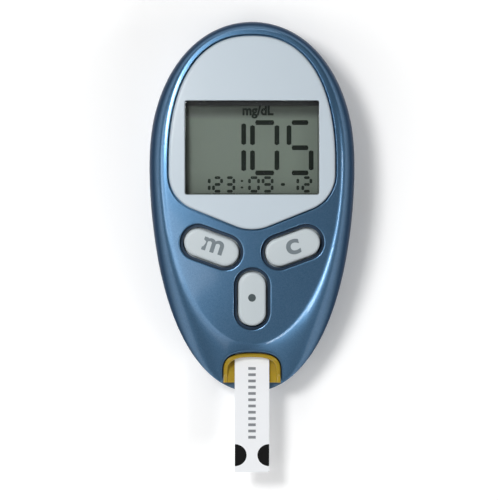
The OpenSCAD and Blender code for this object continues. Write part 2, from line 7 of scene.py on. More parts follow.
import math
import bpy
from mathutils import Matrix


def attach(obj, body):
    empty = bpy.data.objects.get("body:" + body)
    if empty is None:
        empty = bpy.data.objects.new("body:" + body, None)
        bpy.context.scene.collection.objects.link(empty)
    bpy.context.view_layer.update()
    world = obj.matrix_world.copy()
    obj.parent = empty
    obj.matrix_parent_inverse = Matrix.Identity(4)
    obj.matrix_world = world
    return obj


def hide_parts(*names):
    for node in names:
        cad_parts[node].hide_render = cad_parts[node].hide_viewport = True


bl_info = {
    "name": "Blood glucose meter",
    "version": (1, 0, 0),
    "blender": (4, 5, 0),
    "location": "3D View > Sidebar > Meter",
    "description": "Builds the covers, keys, display, port and test strip of a blood glucose meter",
    "category": "Object",
}

import bpy
import numpy as np
from mathutils import Vector
from mathutils.geometry import delaunay_2d_cdt

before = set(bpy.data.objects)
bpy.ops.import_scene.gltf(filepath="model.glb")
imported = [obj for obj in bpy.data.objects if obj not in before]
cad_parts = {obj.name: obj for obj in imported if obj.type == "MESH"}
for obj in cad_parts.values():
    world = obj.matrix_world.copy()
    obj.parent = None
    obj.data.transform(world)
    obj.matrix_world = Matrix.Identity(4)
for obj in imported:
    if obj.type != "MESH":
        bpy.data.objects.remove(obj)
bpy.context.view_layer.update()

MM = 0.001

# ---- Sizes in millimetres, mostly as the part's source has them ----

WIDEST_Y = 8.0
SPLIT_Z = 8.0
JOINT_GAP = 0.12
DOME_R = 170.0
CROWN_Z = 16.8

# Ovals: half width, reach towards +Y, reach towards -Y, bulge of the upper part, bulge of the lower part
EGG = (20.5, 29.0, 45.0, 0.0167, 0.0167)
PLATEAU = (17.1, 26.9, 35.3, 0.0595, 0.0)
BACK = (14.5, 23.5, 38.0, 0.0167, 0.0167)

SHOULDER_N = 2.3
SHOULDER_TAIL_N = 1.2
FLANK_N = 2.2
FLANK_RINGS = 26
SHOULDER_RING_N, SHOULDER_RINGS = 1.6, 34
ROOF = 1.9
WALL = 1.6
FLOOR_Z = 1.5

# Rectangles: lower left and upper right corner
WINDOW = ((-13.35, 2.4), (13.35, 21.1))
LABEL = ((-9, -21), (9, -4))
STRIP_FILM = ((-3.45, -53), (3.45, -27.5))

RECESS_GAP = 0.3
RECESS_DEPTH = 0.95
PANEL_PROUD = 0.2
PANEL_BACK = 0.8
PANE_TOP = 0.1
PANE_FOOT_TOP = 0.4
PANE_GAP = 0.05

KEY_GAP = 0.3
KEY_W = 5.5
KEY_PROUD = 0.7
KEY_CROWN = 0.1
WELL_LIP = 0.85
FLANGE_RIM = 0.9
FLANGE_TOP = 2.05
FLANGE_BACK = 2.85
PLUNGER_R = 1.7
PLUNGER_Z = 9.6

# Keys: X and Y of the middle, turn in degrees, length
KEYS = {
    "left": (-8.06, -8.05, -20.0, 11.2),
    "right": (8.06, -8.05, 20.0, 11.2),
    "centre": (0.0, -18.3, 90.0, 10.7),
}

MOUTH_HALF = 5.9
MOUTH_CROWN_Y = -29.0
MOUTH_SPRING_Y = -33.0
MOUTH_END_Y = -40.0
LINER_FLOOR_Z = 8.1
LINER_EDGE = 0.25

SCREWS = ((8.5, 29.0), (-8.5, 29.0), (9.2, -24.0), (-9.2, -24.0))
DOOR_SCREWS = 2
SCREW_BORE_R, SCREW_POST_R, SCREW_SHANK_R = 1.9, 2.4, 1.15
CELL_Y = 15.0
CELL_POCKET_R, CELL_WALL_R = 10.3, 11.0
JACK_Z = 4.3
JACK_R = 2.2
DOOR_SEAT_Z = 1.4
DOOR_BACK_Z = 1.3
DOOR_HALF, DOOR_LOW_Y = 10.9, 3.4
DOOR_GAP = 0.15
DOOR_EDGE = 0.25
SLOT_EDGE = 0.2
LABEL_EDGE = 0.1
HOLLOW_Y, HOLLOW_R, HOLLOW_DEPTH, HOLLOW_SLOPE = 10.5, 5.0, 0.4, 1.2
RIDGE_HEIGHT, RIDGE_PITCH = 0.24, 1.5

LCD_TOP = 13.2
STRIP_TOP, STRIP_FILM_BACK = 8.8, 8.6


def tone(red, green, blue):
    """The linear colour of an sRGB colour with parts from 0 to 255."""
    parts = (red / 255, green / 255, blue / 255)
    return tuple(part / 12.92 if part <= 0.04045 else ((part + 0.055) / 1.055) ** 2.4 for part in parts)


# ---- Outlines ----


def settle(s):
    """A smooth step from -1 to 1 through 0."""
    return np.tanh(3 * s) / math.tanh(3)


def oval(shape, turn):
    """An egg round (0, WIDEST_Y): an ellipse whose reach along Y changes smoothly from the upper to the
    lower one, fuller at the diagonals by its bulge."""
    half, upper, lower, bulge_up, bulge_low = shape
    c, s = np.cos(turn), np.sin(turn)
    g = settle(s)
    full = 1 + ((bulge_up + bulge_low) / 2 + (bulge_up - bulge_low) / 2 * g) * np.sin(2 * turn) ** 2
    reach = (upper + lower) / 2 + (upper - lower) / 2 * g
    return np.stack([half * c * full, WIDEST_Y + reach * s * full], -1)


def shrunk(shape, inset):
    """An oval's numbers for the oval that lies inside it by an inset."""
    return (shape[0] - inset, shape[1] - inset, shape[2] - inset, shape[3], shape[4])


def part_way(inner, outer, turn, t):
    """Points a share t of the way from the inner to the outer oval, at the same turn."""
    near, far = oval(inner, turn), oval(outer, turn)
    return near + (far - near) * np.reshape(t, (-1, 1))


def even(loop, step):
    """The closed line again, with points a step apart along its length."""
    closed = np.vstack([loop, loop[:1]])
    run = np.concatenate([[0], np.cumsum(np.hypot(*np.diff(closed, axis=0).T))])
    at = np.linspace(0, run[-1], max(12, int(round(run[-1] / step))), endpoint=False)
    return np.stack([np.interp(at, run, closed[:, 0]), np.interp(at, run, closed[:, 1])], -1)


def widened(loop, distance):
    """The closed line moved outwards, each point along its own normal."""
    along = np.roll(loop, -1, 0) - np.roll(loop, 1, 0)
    normal = np.stack([along[:, 1], -along[:, 0]], -1)
    return loop + distance * normal / np.linalg.norm(normal, axis=1, keepdims=True)


def placed(flat, degrees, place):
    """Points turned round the origin and then moved to a place."""
    c, s = math.cos(math.radians(degrees)), math.sin(math.radians(degrees))
    x, y = flat.T
    return np.stack([place[0] + x * c - y * s, place[1] + x * s + y * c], -1)


def arc(cx, cy, r, start, end, n=24):
    """Part of a circle, from one angle in degrees to another."""
    a = np.radians(np.linspace(start, end, n))
    return np.stack([cx + r * np.cos(a), cy + r * np.sin(a)], -1)


def disc(cx, cy, r, n=96):
    """A whole circle."""
    return arc(cx, cy, r, 0, 360 - 360 / n, n)


def round_rect(corners, r, o=0.0):
    """A rectangle, wider by o, with round corners of radius r, anticlockwise."""
    (x0, y0), (x1, y1) = corners
    x0, y0, x1, y1 = x0 - o, y0 - o, x1 + o, y1 + o
    return np.vstack([
        arc(x1 - r, y0 + r, r, -90, 0), arc(x1 - r, y1 - r, r, 0, 90),
        arc(x0 + r, y1 - r, r, 90, 180), arc(x0 + r, y0 + r, r, 180, 270),
    ])


def stadium(key, o=0.0):
    """The outline of a key, wider by o: a bar with half-round ends, turned and put in its place."""
    cx, cy, turn, length = key
    r = KEY_W / 2 + o
    reach = (length - KEY_W) / 2
    bar = np.vstack([arc(reach, 0, r, -90, 90, 48), arc(-reach, 0, r, 90, 270, 48)])
    return placed(bar, turn, (cx, cy))


def shield(o=0.0):
    """The face panel's outline, wider by o: a full upper arch, round lower corners, sloping edges and a round
    tip."""
    half, corner, tip, slope = 16.55 + o, 7.5 + o, 9.0 + o, 22.0
    tip_y = -4.5 - o
    arch = 26.0 + o
    fullness = 2 / 2.36
    c, s = math.cos(math.radians(slope)), math.sin(math.radians(slope))
    corner_y = (s * (half - corner) + corner - tip + c * (tip_y + tip)) / c
    a = np.radians(np.linspace(0, 180, 181))
    x = half * np.sign(np.cos(a)) * np.abs(np.cos(a)) ** fullness
    top = np.stack([x, WIDEST_Y + arch * np.sin(a) ** fullness], -1)
    return np.vstack([
        arc(0, tip_y + tip, tip, -90, slope - 90, 16)[1:],
        arc(half - corner, corner_y, corner, slope - 90, 0, 32)[:-1],
        top,
        arc(corner - half, corner_y, corner, 180, 270 - slope, 32)[1:],
        arc(0, tip_y + tip, tip, 270 - slope, 270, 16),
    ])


def mouth(o=0.0):
    """The strip mouth, narrower by o: an arch that runs out over the port end as two straight sides."""
    half, crown, spring = MOUTH_HALF - o, MOUTH_CROWN_Y - o, MOUTH_SPRING_Y
    fullness = 2 / 2.8
    count = 40
    a = np.radians(np.linspace(0, 180, 121))
    x = half * np.sign(np.cos(a)) * np.abs(np.cos(a)) ** fullness
    y = spring + (crown - spring) * np.sin(a) ** fullness
    straight = np.linspace(spring, MOUTH_END_Y, count)[1:]
    left = np.stack([np.full(count - 1, -half), straight], -1)
    foot = np.stack([np.linspace(-half, half, count)[1:-1], np.full(count - 2, MOUTH_END_Y)], -1)
    right = np.stack([np.full(count - 1, half), straight[::-1]], -1)
    return np.vstack([np.stack([x, y], -1), left, foot, right])


# ---- Heights ----

NUDGE = 1e-5
NEWTON_STEPS = 14


def dome(x, y):
    """Height of the domed face: a ball cap of radius DOME_R with its crown over the widest line."""
    return CROWN_Z - DOME_R + np.sqrt(DOME_R ** 2 - x ** 2 - (y - WIDEST_Y) ** 2)


def under_dome(depth):
    """A height that follows the domed face at a depth under it."""
    return lambda x, y: dome(x, y) - depth


def between(inner, outer, points):
    """Where each point lies between two ovals: its turn, and its share t of the way, from 0 on the inner
    oval to 1 on the outer one. Found by Newton's steps on the ring that is t of the way at the same
    turn."""
    x, y = points[:, 0], points[:, 1] - WIDEST_Y
    reach = np.where(y > 0, (inner[1] + outer[1]) / 2, (inner[2] + outer[2]) / 2)
    turn = np.arctan2(y / reach, x / ((inner[0] + outer[0]) / 2))
    t = np.full(len(points), 0.5)
    for _ in range(NEWTON_STEPS):
        here = part_way(inner, outer, turn, t)
        miss = here - points
        by_turn = (part_way(inner, outer, turn + NUDGE, t) - here) / NUDGE
        by_t = oval(outer, turn) - oval(inner, turn)
        det = by_turn[:, 0] * by_t[:, 1] - by_turn[:, 1] * by_t[:, 0]
        turn = turn - np.clip((miss[:, 0] * by_t[:, 1] - miss[:, 1] * by_t[:, 0]) / det, -0.3, 0.3)
        t = t - np.clip((by_turn[:, 0] * miss[:, 1] - by_turn[:, 1] * miss[:, 0]) / det, -0.5, 0.5)
        t = np.clip(t, -3, 1)
    return turn, t


def arch_share(t, n):
    """How much of its height a rounded shoulder still has at t: a superellipse of exponent n."""
    return np.clip(1 - np.clip(t, 0, 1) ** n, 0, 1) ** (1 / n)


def ring_steps(n, count):
    """Steps from 0 to 1 along a shoulder, close together where it turns steep."""
    return np.sin(np.linspace(0, math.pi / 2, count)) ** (2 / n)


def shoulder_height(x, y, turn, t, roof=0.0):
    """Height of the front cover's dome and shoulder, or of its inner face under a roof. The shoulder is
    softly round at the sides and a crisper edge towards the port end."""
    power = SHOULDER_N - (SHOULDER_N - SHOULDER_TAIL_N) * np.clip(-np.sin(turn), 0, 1) ** 1.5
    return SPLIT_Z + (dome(x, y) - roof - SPLIT_Z) * arch_share(t, power)


def flank_height(t, low=0.0):
    """Height of the rounded flank of the rear cover, or of its inner face, which starts at a low level."""
    return low + (SPLIT_Z - low) * (1 - arch_share(t, FLANK_N))


def flank_share(z):
    """How far out from the flat back the flank has risen to a height."""
    return (1 - (1 - z / SPLIT_Z) ** FLANK_N) ** (1 / FLANK_N)


def cap_height(key, x, y):
    """Height of a key's top: proud of the dome, and crowned across the key."""
    cx, cy, degrees, _ = key
    c, s = math.cos(math.radians(degrees)), math.sin(math.radians(degrees))
    across = ((y - cy) * c - (x - cx) * s) / (KEY_W / 2)
    return dome(x, y) + KEY_PROUD - KEY_CROWN * across ** 2


def lining(at, flat, inset, fade):
    """Turn and share of points of a cover, and where its inner face has them: each ring moves in by the
    wall, and the points inside the flat oval move less the further in they lie."""
    turn, t = between(flat, EGG, at)
    inner, outer = oval(shrunk(flat, inset), turn), oval(shrunk(EGG, WALL), turn)
    ring = inner + (outer - inner) * np.clip(t, 0, 1)[:, None]
    share = np.clip(1 + t * fade, 0, 1)[:, None]
    shift = np.where(t[:, None] > 0, ring - at, (inner - oval(flat, turn)) * share)
    return turn, t, (at + shift).T


# ---- Round edges ----

EDGE_STEPS = 1 - np.sin(np.radians([0, 18, 36, 54, 72, 90]))
KEEP_FLAT = 1.5


def edge_rings(loop, radius, side=1):
    """The rings that carry a quarter-round edge beside a loop, outside it (1) or inside it (-1), and one more
    that keeps the shading of the flat face flat."""
    return [widened(loop, side * radius * share) for share in (KEEP_FLAT, *EDGE_STEPS)]


def edge_drop(at, *rims):
    """How far points lie under their face because of quarter-round edges. Each rim is a loop and its
    radius."""
    drop = np.zeros(len(at))
    for loop, radius in rims:
        u = np.clip(1 - reach_to(loop, at) / radius, 0, 1)
        drop = np.maximum(drop, radius * (1 - np.sqrt(np.clip(1 - u * u, 0, 1))))
    return drop


# ---- Plans and shells ----

SHARP_DEGREES = 38.0


def within(loop, points):
    """Whether each point lies inside a loop that every ray from its middle leaves once."""
    centre = (loop.min(0) + loop.max(0)) / 2
    ray = loop - centre
    angle, far = np.arctan2(ray[:, 1], ray[:, 0]), np.hypot(ray[:, 0], ray[:, 1])
    order = np.argsort(angle)
    angle, far = angle[order], far[order]
    angle = np.concatenate([angle[-1:] - 2 * math.pi, angle, angle[:1] + 2 * math.pi])
    far = np.concatenate([far[-1:], far, far[:1]])
    from_centre = points - centre
    own_angle = np.arctan2(from_centre[:, 1], from_centre[:, 0])
    i = np.clip(np.searchsorted(angle, own_angle), 1, len(angle) - 1)
    ax, ay = far[i - 1] * np.cos(angle[i - 1]), far[i - 1] * np.sin(angle[i - 1])
    bx, by = far[i] * np.cos(angle[i]), far[i] * np.sin(angle[i])
    return (bx - ax) * (from_centre[:, 1] - ay) - (by - ay) * (from_centre[:, 0] - ax) > 0


def reach_to(loop, points, limit=3.0):
    """Distance from each point to a closed line, or the limit where it is further away."""
    low, high = loop.min(0) - limit, loop.max(0) + limit
    near = np.flatnonzero(((points > low) & (points < high)).all(1))
    found = np.full(len(points), limit)
    side = np.roll(loop, -1, 0) - loop
    for part in np.array_split(near, max(1, len(near) // 4000)):
        to_point = points[part][:, None] - loop[None]
        along = np.clip((to_point * side).sum(2) / (side * side).sum(1), 0, 1)
        found[part] = np.minimum(limit, np.sqrt(((to_point - along[:, :, None] * side) ** 2).sum(2)).min(1))
    return found


def wound(points, triangles):
    """The triangles turned anticlockwise, and twice the area of each."""
    a, b, c = (points[triangles[:, i]] for i in range(3))
    area = (b[:, 0] - a[:, 0]) * (c[:, 1] - a[:, 1]) - (b[:, 1] - a[:, 1]) * (c[:, 0] - a[:, 0])
    triangles[area < 0] = triangles[area < 0][:, ::-1]
    return triangles, np.abs(area)


def plan(loops, spread, step):
    """Points, triangles and the triangles' middles of a plan that keeps every loop as edges. Inside the
    loop called spread it is filled up with an even field of points, a step apart and clear of the loops."""
    low, high = spread.min(0), spread.max(0)
    gx, gy = np.meshgrid(np.arange(low[0], high[0], step), np.arange(low[1], high[1], step * 0.866))
    gx = gx + (np.arange(len(gx)) % 2)[:, None] * step / 2
    field = np.stack([gx.ravel(), gy.ravel()], -1)
    field = field[within(spread, field)]
    clearance = 0.5 * step
    for loop in loops:
        field = field[reach_to(loop, field, clearance * 1.01) > clearance]
    ends = np.cumsum([len(loop) for loop in loops])
    index = np.arange(ends[-1])
    after = index + 1
    after[ends - 1] = np.concatenate([[0], ends[:-1]])
    edges = np.stack([index, after], -1).tolist()
    made = delaunay_2d_cdt(np.vstack([*loops, field]).tolist(), edges, [], 0, 1e-6)
    points = np.array(made[0], float)
    triangles, area = wound(points, np.array(made[2], int))
    triangles = triangles[area > 1e-9]
    return points, triangles, points[triangles].mean(1)


def kinds_of(middle, areas):
    """The kind of each triangle: areas are pairs of a kind and its outlines, and later ones win. Kind 0 is
    open."""
    kind = np.zeros(len(middle), int)
    for number, outlines in areas:
        for outline in outlines:
            kind[within(outline, middle)] = number
    return kind


def terrace(points, triangles, kind, face, back, flip=False):
    """A closed shell over a plan. Each triangle has a kind of area, and kind 0 is open. face and back give
    the place of a point for its kind; upright walls join neighbouring kinds and close every rim."""
    triangles, kind = triangles[kind > 0], kind[kind > 0]
    n = len(points)
    used, corner = np.unique(kind[:, None] * n + triangles, return_inverse=True)
    corner = corner.reshape(-1, 3)
    kinds, at = used // n, points[used % n]
    below = len(used)
    start, end = corner.ravel(), np.roll(corner, -1, 1).ravel()
    tail, head = triangles.ravel(), np.roll(triangles, -1, 1).ravel()
    edge = np.minimum(tail, head) * n + np.maximum(tail, head)
    order = np.argsort(edge, kind="stable")
    same = edge[order][1:] == edge[order][:-1]
    first, second = order[:-1][same], order[1:][same]
    alone = np.ones(len(edge), bool)
    alone[first] = alone[second] = False
    uneven = (start[first] != end[second]) | (end[first] != start[second])
    a, b = first[uneven], second[uneven]
    quads = np.vstack([
        np.stack([end[a], start[a], end[b], start[b]], -1),
        np.stack([start[b], end[b], start[a], end[a]], -1) + below,
        np.stack([end[alone], start[alone], start[alone] + below, end[alone] + below], -1),
    ])
    faces = np.vstack([corner, corner[:, ::-1] + below, quads[:, :3], quads[:, [0, 2, 3]]])
    places = np.vstack([face(kinds, at), back(kinds, at)])
    return places, faces[:, ::-1] if flip else faces


def merged(places, grid=1e-4):
    """The places without the repeated ones, and for each place the number that it now has."""
    cells = np.round(places / grid).astype(np.int64)
    _, keep, index = np.unique(cells, axis=0, return_index=True, return_inverse=True)
    return places[keep], index.reshape(-1)


def welded(places, faces):
    """The same shell with equal points merged and faces without area left out."""
    places, index = merged(places)
    faces = index[faces]
    whole = (faces[:, 0] != faces[:, 1]) & (faces[:, 1] != faces[:, 2]) & (faces[:, 2] != faces[:, 0])
    return places, faces[whole]


def at_height(x, y, z):
    """Places from X, Y and Z, where Z may be one number for all."""
    return np.stack([x, y, np.broadcast_to(z, x.shape)], -1)


def piece(name, shells, material, body, nodes=(), other=None):
    """A mesh object from one or more (places, faces) pairs in millimetres. It rides on its body and stands
    for its CAD nodes. other is a second material and the test of which face middles have it."""
    parts = [welded(*shell) for shell in ([shells] if isinstance(shells, tuple) else shells)]
    starts = np.cumsum([0] + [len(part[0]) for part in parts])
    places = np.vstack([part[0] for part in parts]) * MM
    faces = np.vstack([part[1] + start for part, start in zip(parts, starts)])
    mesh = bpy.data.meshes.new(name)
    mesh.vertices.add(len(places))
    mesh.vertices.foreach_set("co", places.astype(np.float32).ravel())
    mesh.loops.add(len(faces) * 3)
    mesh.loops.foreach_set("vertex_index", faces.astype(np.int32).ravel())
    mesh.polygons.add(len(faces))
    mesh.polygons.foreach_set("loop_start", np.arange(0, len(faces) * 3, 3, dtype=np.int32))
    mesh.update(calc_edges=True)
    mesh.validate()
    mesh.polygons.foreach_set("use_smooth", np.ones(len(mesh.polygons), bool))
    mesh.set_sharp_from_angle(angle=math.radians(SHARP_DEGREES))
    mesh.materials.append(material)
    if other:
        second, wears_second = other
        mesh.materials.append(second)
        middles = np.zeros(len(mesh.polygons) * 3)
        mesh.polygons.foreach_get("center", middles)
        chosen = wears_second(middles.reshape(-1, 3) / MM)
        mesh.polygons.foreach_set("material_index", chosen.astype(np.int32))
    obj = bpy.data.objects.new(name, mesh)
    bpy.context.scene.collection.objects.link(obj)
    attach(obj, body)
    if nodes:
        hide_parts(*nodes)
    return obj


# ---- Shader building blocks ----

FLOAT, COLOUR = "NodeSocketFloat", "NodeSocketColor"
BUMP_DISTANCE = 0.00002


def join(tree, target, links):
    """Gives a node's inputs their values, or links them where the value is a socket."""
    for key, value in links:
        if isinstance(value, bpy.types.NodeSocket):
            tree.links.new(value, target.inputs[key])
        else:
            target.inputs[key].default_value = value


def node(tree, kind, links=(), **values):
    """A shader node with its properties set first, and then its inputs."""
    made = tree.nodes.new(kind)
    for key, value in values.items():
        setattr(made, key, value)
    join(tree, made, links)
    return made


def maths(tree, operation, *values):
    """The result of one piece of arithmetic on numbers and sockets."""
    return node(tree, "ShaderNodeMath", list(enumerate(values)), operation=operation).outputs[0]


def scaled(tree, colour, factor):
    """A colour times a factor."""
    return node(tree, "ShaderNodeVectorMath", [(0, colour), ("Scale", factor)], operation="SCALE").outputs[0]


def eased(tree, value, start, end, low=0.0, high=1.0):
    """A number that goes smoothly from low, where the value is at start, to high, where it is at end."""
    links = [("Value", value), ("From Min", start), ("From Max", end), ("To Min", low), ("To Max", high)]
    return node(tree, "ShaderNodeMapRange", links, interpolation_type="SMOOTHSTEP").outputs[0]


def object_place(tree):
    """Where a point lies in its piece's own frame."""
    return node(tree, "ShaderNodeTexCoord").outputs["Object"]


def new_group(name, inputs, outputs):
    """A shader node group with named float or colour sockets."""
    group = bpy.data.node_groups.new(name, "ShaderNodeTree")
    for label, kind, value in inputs:
        group.interface.new_socket(label, in_out="INPUT", socket_type=kind).default_value = value
    for label, kind in outputs:
        group.interface.new_socket(label, in_out="OUTPUT", socket_type=kind)
    return group, group.nodes.new("NodeGroupInput").outputs, group.nodes.new("NodeGroupOutput")


def moulding_group():
    """Fine grain of moulded plastic with slow shifts of tone, from two noises on Object coordinates."""
    group, given, out = new_group(
        "moulded surface",
        [("Colour", COLOUR, (0.5, 0.5, 0.5, 1)), ("Shift", FLOAT, 0.04), ("Roughness", FLOAT, 0.4),
         ("Spread", FLOAT, 0.06), ("Grain scale", FLOAT, 4000.0), ("Drift scale", FLOAT, 90.0)],
        [("Colour", COLOUR), ("Roughness", FLOAT), ("Height", FLOAT)])
    place = ("Vector", object_place(group))
    grain = node(group, "ShaderNodeTexNoise",
                 [place, ("Scale", given["Grain scale"]), ("Detail", 3.0), ("Roughness", 0.6)]).outputs["Fac"]
    drift = node(group, "ShaderNodeTexNoise",
                 [place, ("Scale", given["Drift scale"]), ("Detail", 2.0)]).outputs["Fac"]
    gain = maths(group, "MULTIPLY", maths(group, "SUBTRACT", drift, 0.5), given["Shift"])
    spread = maths(group, "SUBTRACT", grain, 0.5)
    join(group, out, [
        ("Colour", scaled(group, given["Colour"], maths(group, "ADD", gain, 1.0))),
        ("Roughness", maths(group, "MULTIPLY_ADD", spread, given["Spread"], given["Roughness"])),
        ("Height", grain),
    ])
    return group


def flake_group():
    """Metal flakes in lacquer: tiny cells, each with its own tone and its own height."""
    group, given, out = new_group(
        "flake lacquer",
        [("Colour", COLOUR, (0.2, 0.3, 0.4, 1)), ("Light", COLOUR, (0.4, 0.5, 0.6, 1)),
         ("Amount", FLOAT, 0.5), ("Scale", FLOAT, 9000.0)],
        [("Colour", COLOUR), ("Height", FLOAT)])
    cells = node(group, "ShaderNodeTexVoronoi", [("Vector", object_place(group)), ("Scale", given["Scale"])])
    value = node(group, "ShaderNodeSeparateColor", [(0, cells.outputs["Color"])])
    share = maths(group, "MULTIPLY", value.outputs[0], given["Amount"])
    mix = node(group, "ShaderNodeMix", data_type="RGBA")
    join(group, mix, [(0, share), (6, given["Colour"]), (7, given["Light"])])
    join(group, out, [("Colour", mix.outputs[2]), ("Height", value.outputs[1])])
    return group


def flank_shade_group():
    """How far a surface faces up: 0 on a steep flank, 1 on a face that lies flatter than about 30 degrees.
    It darkens a colour on the steep flanks as painted shade, from the share of colour left there to full."""
    group, given, out = new_group(
        "painted shade on flanks", [("Colour", COLOUR, (0.2, 0.3, 0.4, 1)), ("Colour left in flank shade", FLOAT, 0.6)],
        [("Colour", COLOUR), ("Upward", FLOAT)])
    geometry = node(group, "ShaderNodeNewGeometry")
    up = node(group, "ShaderNodeSeparateXYZ", [(0, geometry.outputs["Normal"])]).outputs["Z"]
    steep, flat = 0.35, 0.88
    share = eased(group, up, steep, flat, given["Colour left in flank shade"])
    join(group, out, [
        ("Colour", scaled(group, given["Colour"], share)),
        ("Upward", eased(group, up, steep, flat)),
    ])
    return group


def shared(tree, name, make, links=()):
    """A node of a material that shows a shared group, which is made at its first use."""
    group = bpy.data.node_groups.get(name) or make()
    return node(tree, "ShaderNodeGroup", links, node_tree=group)


def moulded(tree, shader, colour, **values):
    """The shared moulded surface in a material, as what drives its roughness. It has colour and height to
    give."""
    links = [(key.replace("_", " ").capitalize(), value) for key, value in values.items()]
    surface = shared(tree, "moulded surface", moulding_group, [("Colour", colour), *links])
    join(tree, shader, [("Roughness", surface.outputs["Roughness"])])
    return surface.outputs


def add_relief(tree, shader, height, strength):
    """A fine bump on a shader."""
    links = [("Height", height), ("Strength", strength), ("Distance", BUMP_DISTANCE)]
    bump = node(tree, "ShaderNodeBump", links)
    join(tree, shader, [("Normal", bump.outputs[0])])


def show_mix(tree, share, first, second):
    """Puts a mix of two shaders on a material's surface."""
    mix = node(tree, "ShaderNodeMixShader", [(0, share), (1, first), (2, second)])
    join(tree, tree.nodes["Material Output"], [("Surface", mix.outputs[0])])


# ---- Finishes ----


def once(make):
    """A finish of one name is made at its first use and used again after that."""

    def finish(name, *values, **named):
        return bpy.data.materials.get(name) or make(name, *values, **named)

    return finish


def new_material(name):
    """A material with its node tree and its Principled shader."""
    material = bpy.data.materials.new(name)
    material.use_nodes = True
    tree = material.node_tree
    return material, tree, tree.nodes["Principled BSDF"]


def solid(colour):
    """A linear colour with full alpha."""
    return (*colour[:3], 1)


@once
def plastic(name, colour, roughness=0.4, shift=0.05, spread=0.08, grain=4000.0, drift=90.0, bump=0.05,
            metallic=0.0, coat=0.0, coat_roughness=0.1, specular=0.5):
    """A moulded or sheet finish: the shared surface group drives colour, roughness and a fine bump."""
    material, tree, shader = new_material(name)
    surface = moulded(tree, shader, solid(colour), shift=shift, roughness=roughness, spread=spread,
                      grain_scale=grain, drift_scale=drift)
    if bump:
        add_relief(tree, shader, surface["Height"], bump)
    join(tree, shader, [
        ("Base Color", surface["Colour"]), ("Metallic", metallic), ("Coat Weight", coat),
        ("Coat Roughness", coat_roughness), ("Specular IOR Level", specular),
    ])
    return material


@once
def lacquer(name, colour, light, metallic, roughness, coat, coat_roughness, left_in_flank_shade):
    """Pearl-blue lacquer: flakes in the colour and in the bump, under a clear coat that thins out on the
    flanks, where the colour is also darkened as painted shade."""
    material, tree, shader = new_material(name)
    flakes = shared(tree, "flake lacquer", flake_group,
                    [("Colour", solid(colour)), ("Light", solid(light))]).outputs
    surface = moulded(tree, shader, flakes["Colour"], shift=0.05, roughness=roughness, spread=0.05,
                      grain_scale=2500.0, drift_scale=60.0)
    painted_shade = shared(tree, "painted shade on flanks", flank_shade_group,
                  [("Colour", surface["Colour"]), ("Colour left in flank shade", left_in_flank_shade)]).outputs
    add_relief(tree, shader, flakes["Height"], 0.08)
    join(tree, shader, [
        ("Base Color", painted_shade["Colour"]), ("Metallic", metallic),
        ("Specular IOR Level", 0.1), ("Specular Tint", (0.35, 0.4, 0.5, 1)),
        ("Coat Weight", maths(tree, "MULTIPLY", painted_shade["Upward"], coat)), ("Coat Roughness", coat_roughness),
    ])
    return material


@once
def clear(name, colour, roughness=0.02, ior=1.49, passed=0.9):
    """Clear plastic that lets lamp light through to what lies under it, by the share passed."""
    material, tree, shader = new_material(name)
    surface = moulded(tree, shader, solid(colour), shift=0.02, roughness=roughness, spread=0.02)
    join(tree, shader, [("Base Color", surface["Colour"]), ("Transmission Weight", 1.0), ("IOR", ior)])
    path = node(tree, "ShaderNodeLightPath").outputs
    through = node(tree, "ShaderNodeBsdfTransparent", [("Color", (passed, passed, passed, 1))])
    unseen = maths(tree, "MAXIMUM", path["Is Shadow Ray"], path["Is Diffuse Ray"])
    show_mix(tree, unseen, shader.outputs[0], through.outputs[0])
    return material


def shade_edges(material):
    """Darkens a finish along the window's upper and left edge, where the frame stands in its light."""
    tree = material.node_tree
    shader = tree.nodes["Principled BSDF"]
    colour = shader.inputs["Base Color"].links[0].from_socket
    place = node(tree, "ShaderNodeSeparateXYZ", [(0, object_place(tree))]).outputs
    # Axis, where the shade starts and where it is full, in mm, and the share of the colour that is left there
    for axis, start, end, share in (("Y", 17.0, 19.2, 0.25), ("X", -12.2, -13.1, 0.6)):
        colour = scaled(tree, colour, eased(tree, place[axis], start * MM, end * MM, 1.0, share))
    join(tree, shader, [("Base Color", colour)])


def dress(finishes):
    """Gives CAD nodes that stay as they are their finish."""
    for name, material in finishes.items():
        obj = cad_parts[name]
        obj.data.materials.clear()
        obj.data.materials.append(material)


# ---- What a user would change ----


def colour_property(name, description, value):
    """A linear colour that the sidebar shows as a swatch."""
    return bpy.props.FloatVectorProperty(
        name=name, description=description, default=value, size=3, min=0, max=1, subtype="COLOR")


def size_property(name, description, value, low, high):
    """A size in millimetres with its range."""
    return bpy.props.FloatProperty(
        name=name, description=description + ", in mm", default=value, min=low, max=high)


class MeterSizes(bpy.types.PropertyGroup):
    """Sizes of the dressed pieces, in millimetres"""

    well_depth: size_property("Well depth", "Depth of the well round a key", 0.9, 0.2, 1.2)
    well_edge: size_property("Well edge", "Radius of the edge round a key's well", 0.25, 0.05, 0.4)
    recess_edge: size_property("Recess edge", "Radius of the edge round the panel's recess", 0.1, 0.05, 0.35)
    mouth_edge: size_property("Mouth edge", "Radius of the edge round the strip mouth", 0.5, 0.1, 0.8)
    panel_edge: size_property("Panel edge", "Radius of the face panel's rim", 0.5, 0.1, 0.9)
    key_edge: size_property("Key edge", "Radius of a key's upper edge", 0.6, 0.1, 1.0)
    point_step: size_property("Point step", "Distance of mesh points along an outline", 0.35, 0.2, 1.5)


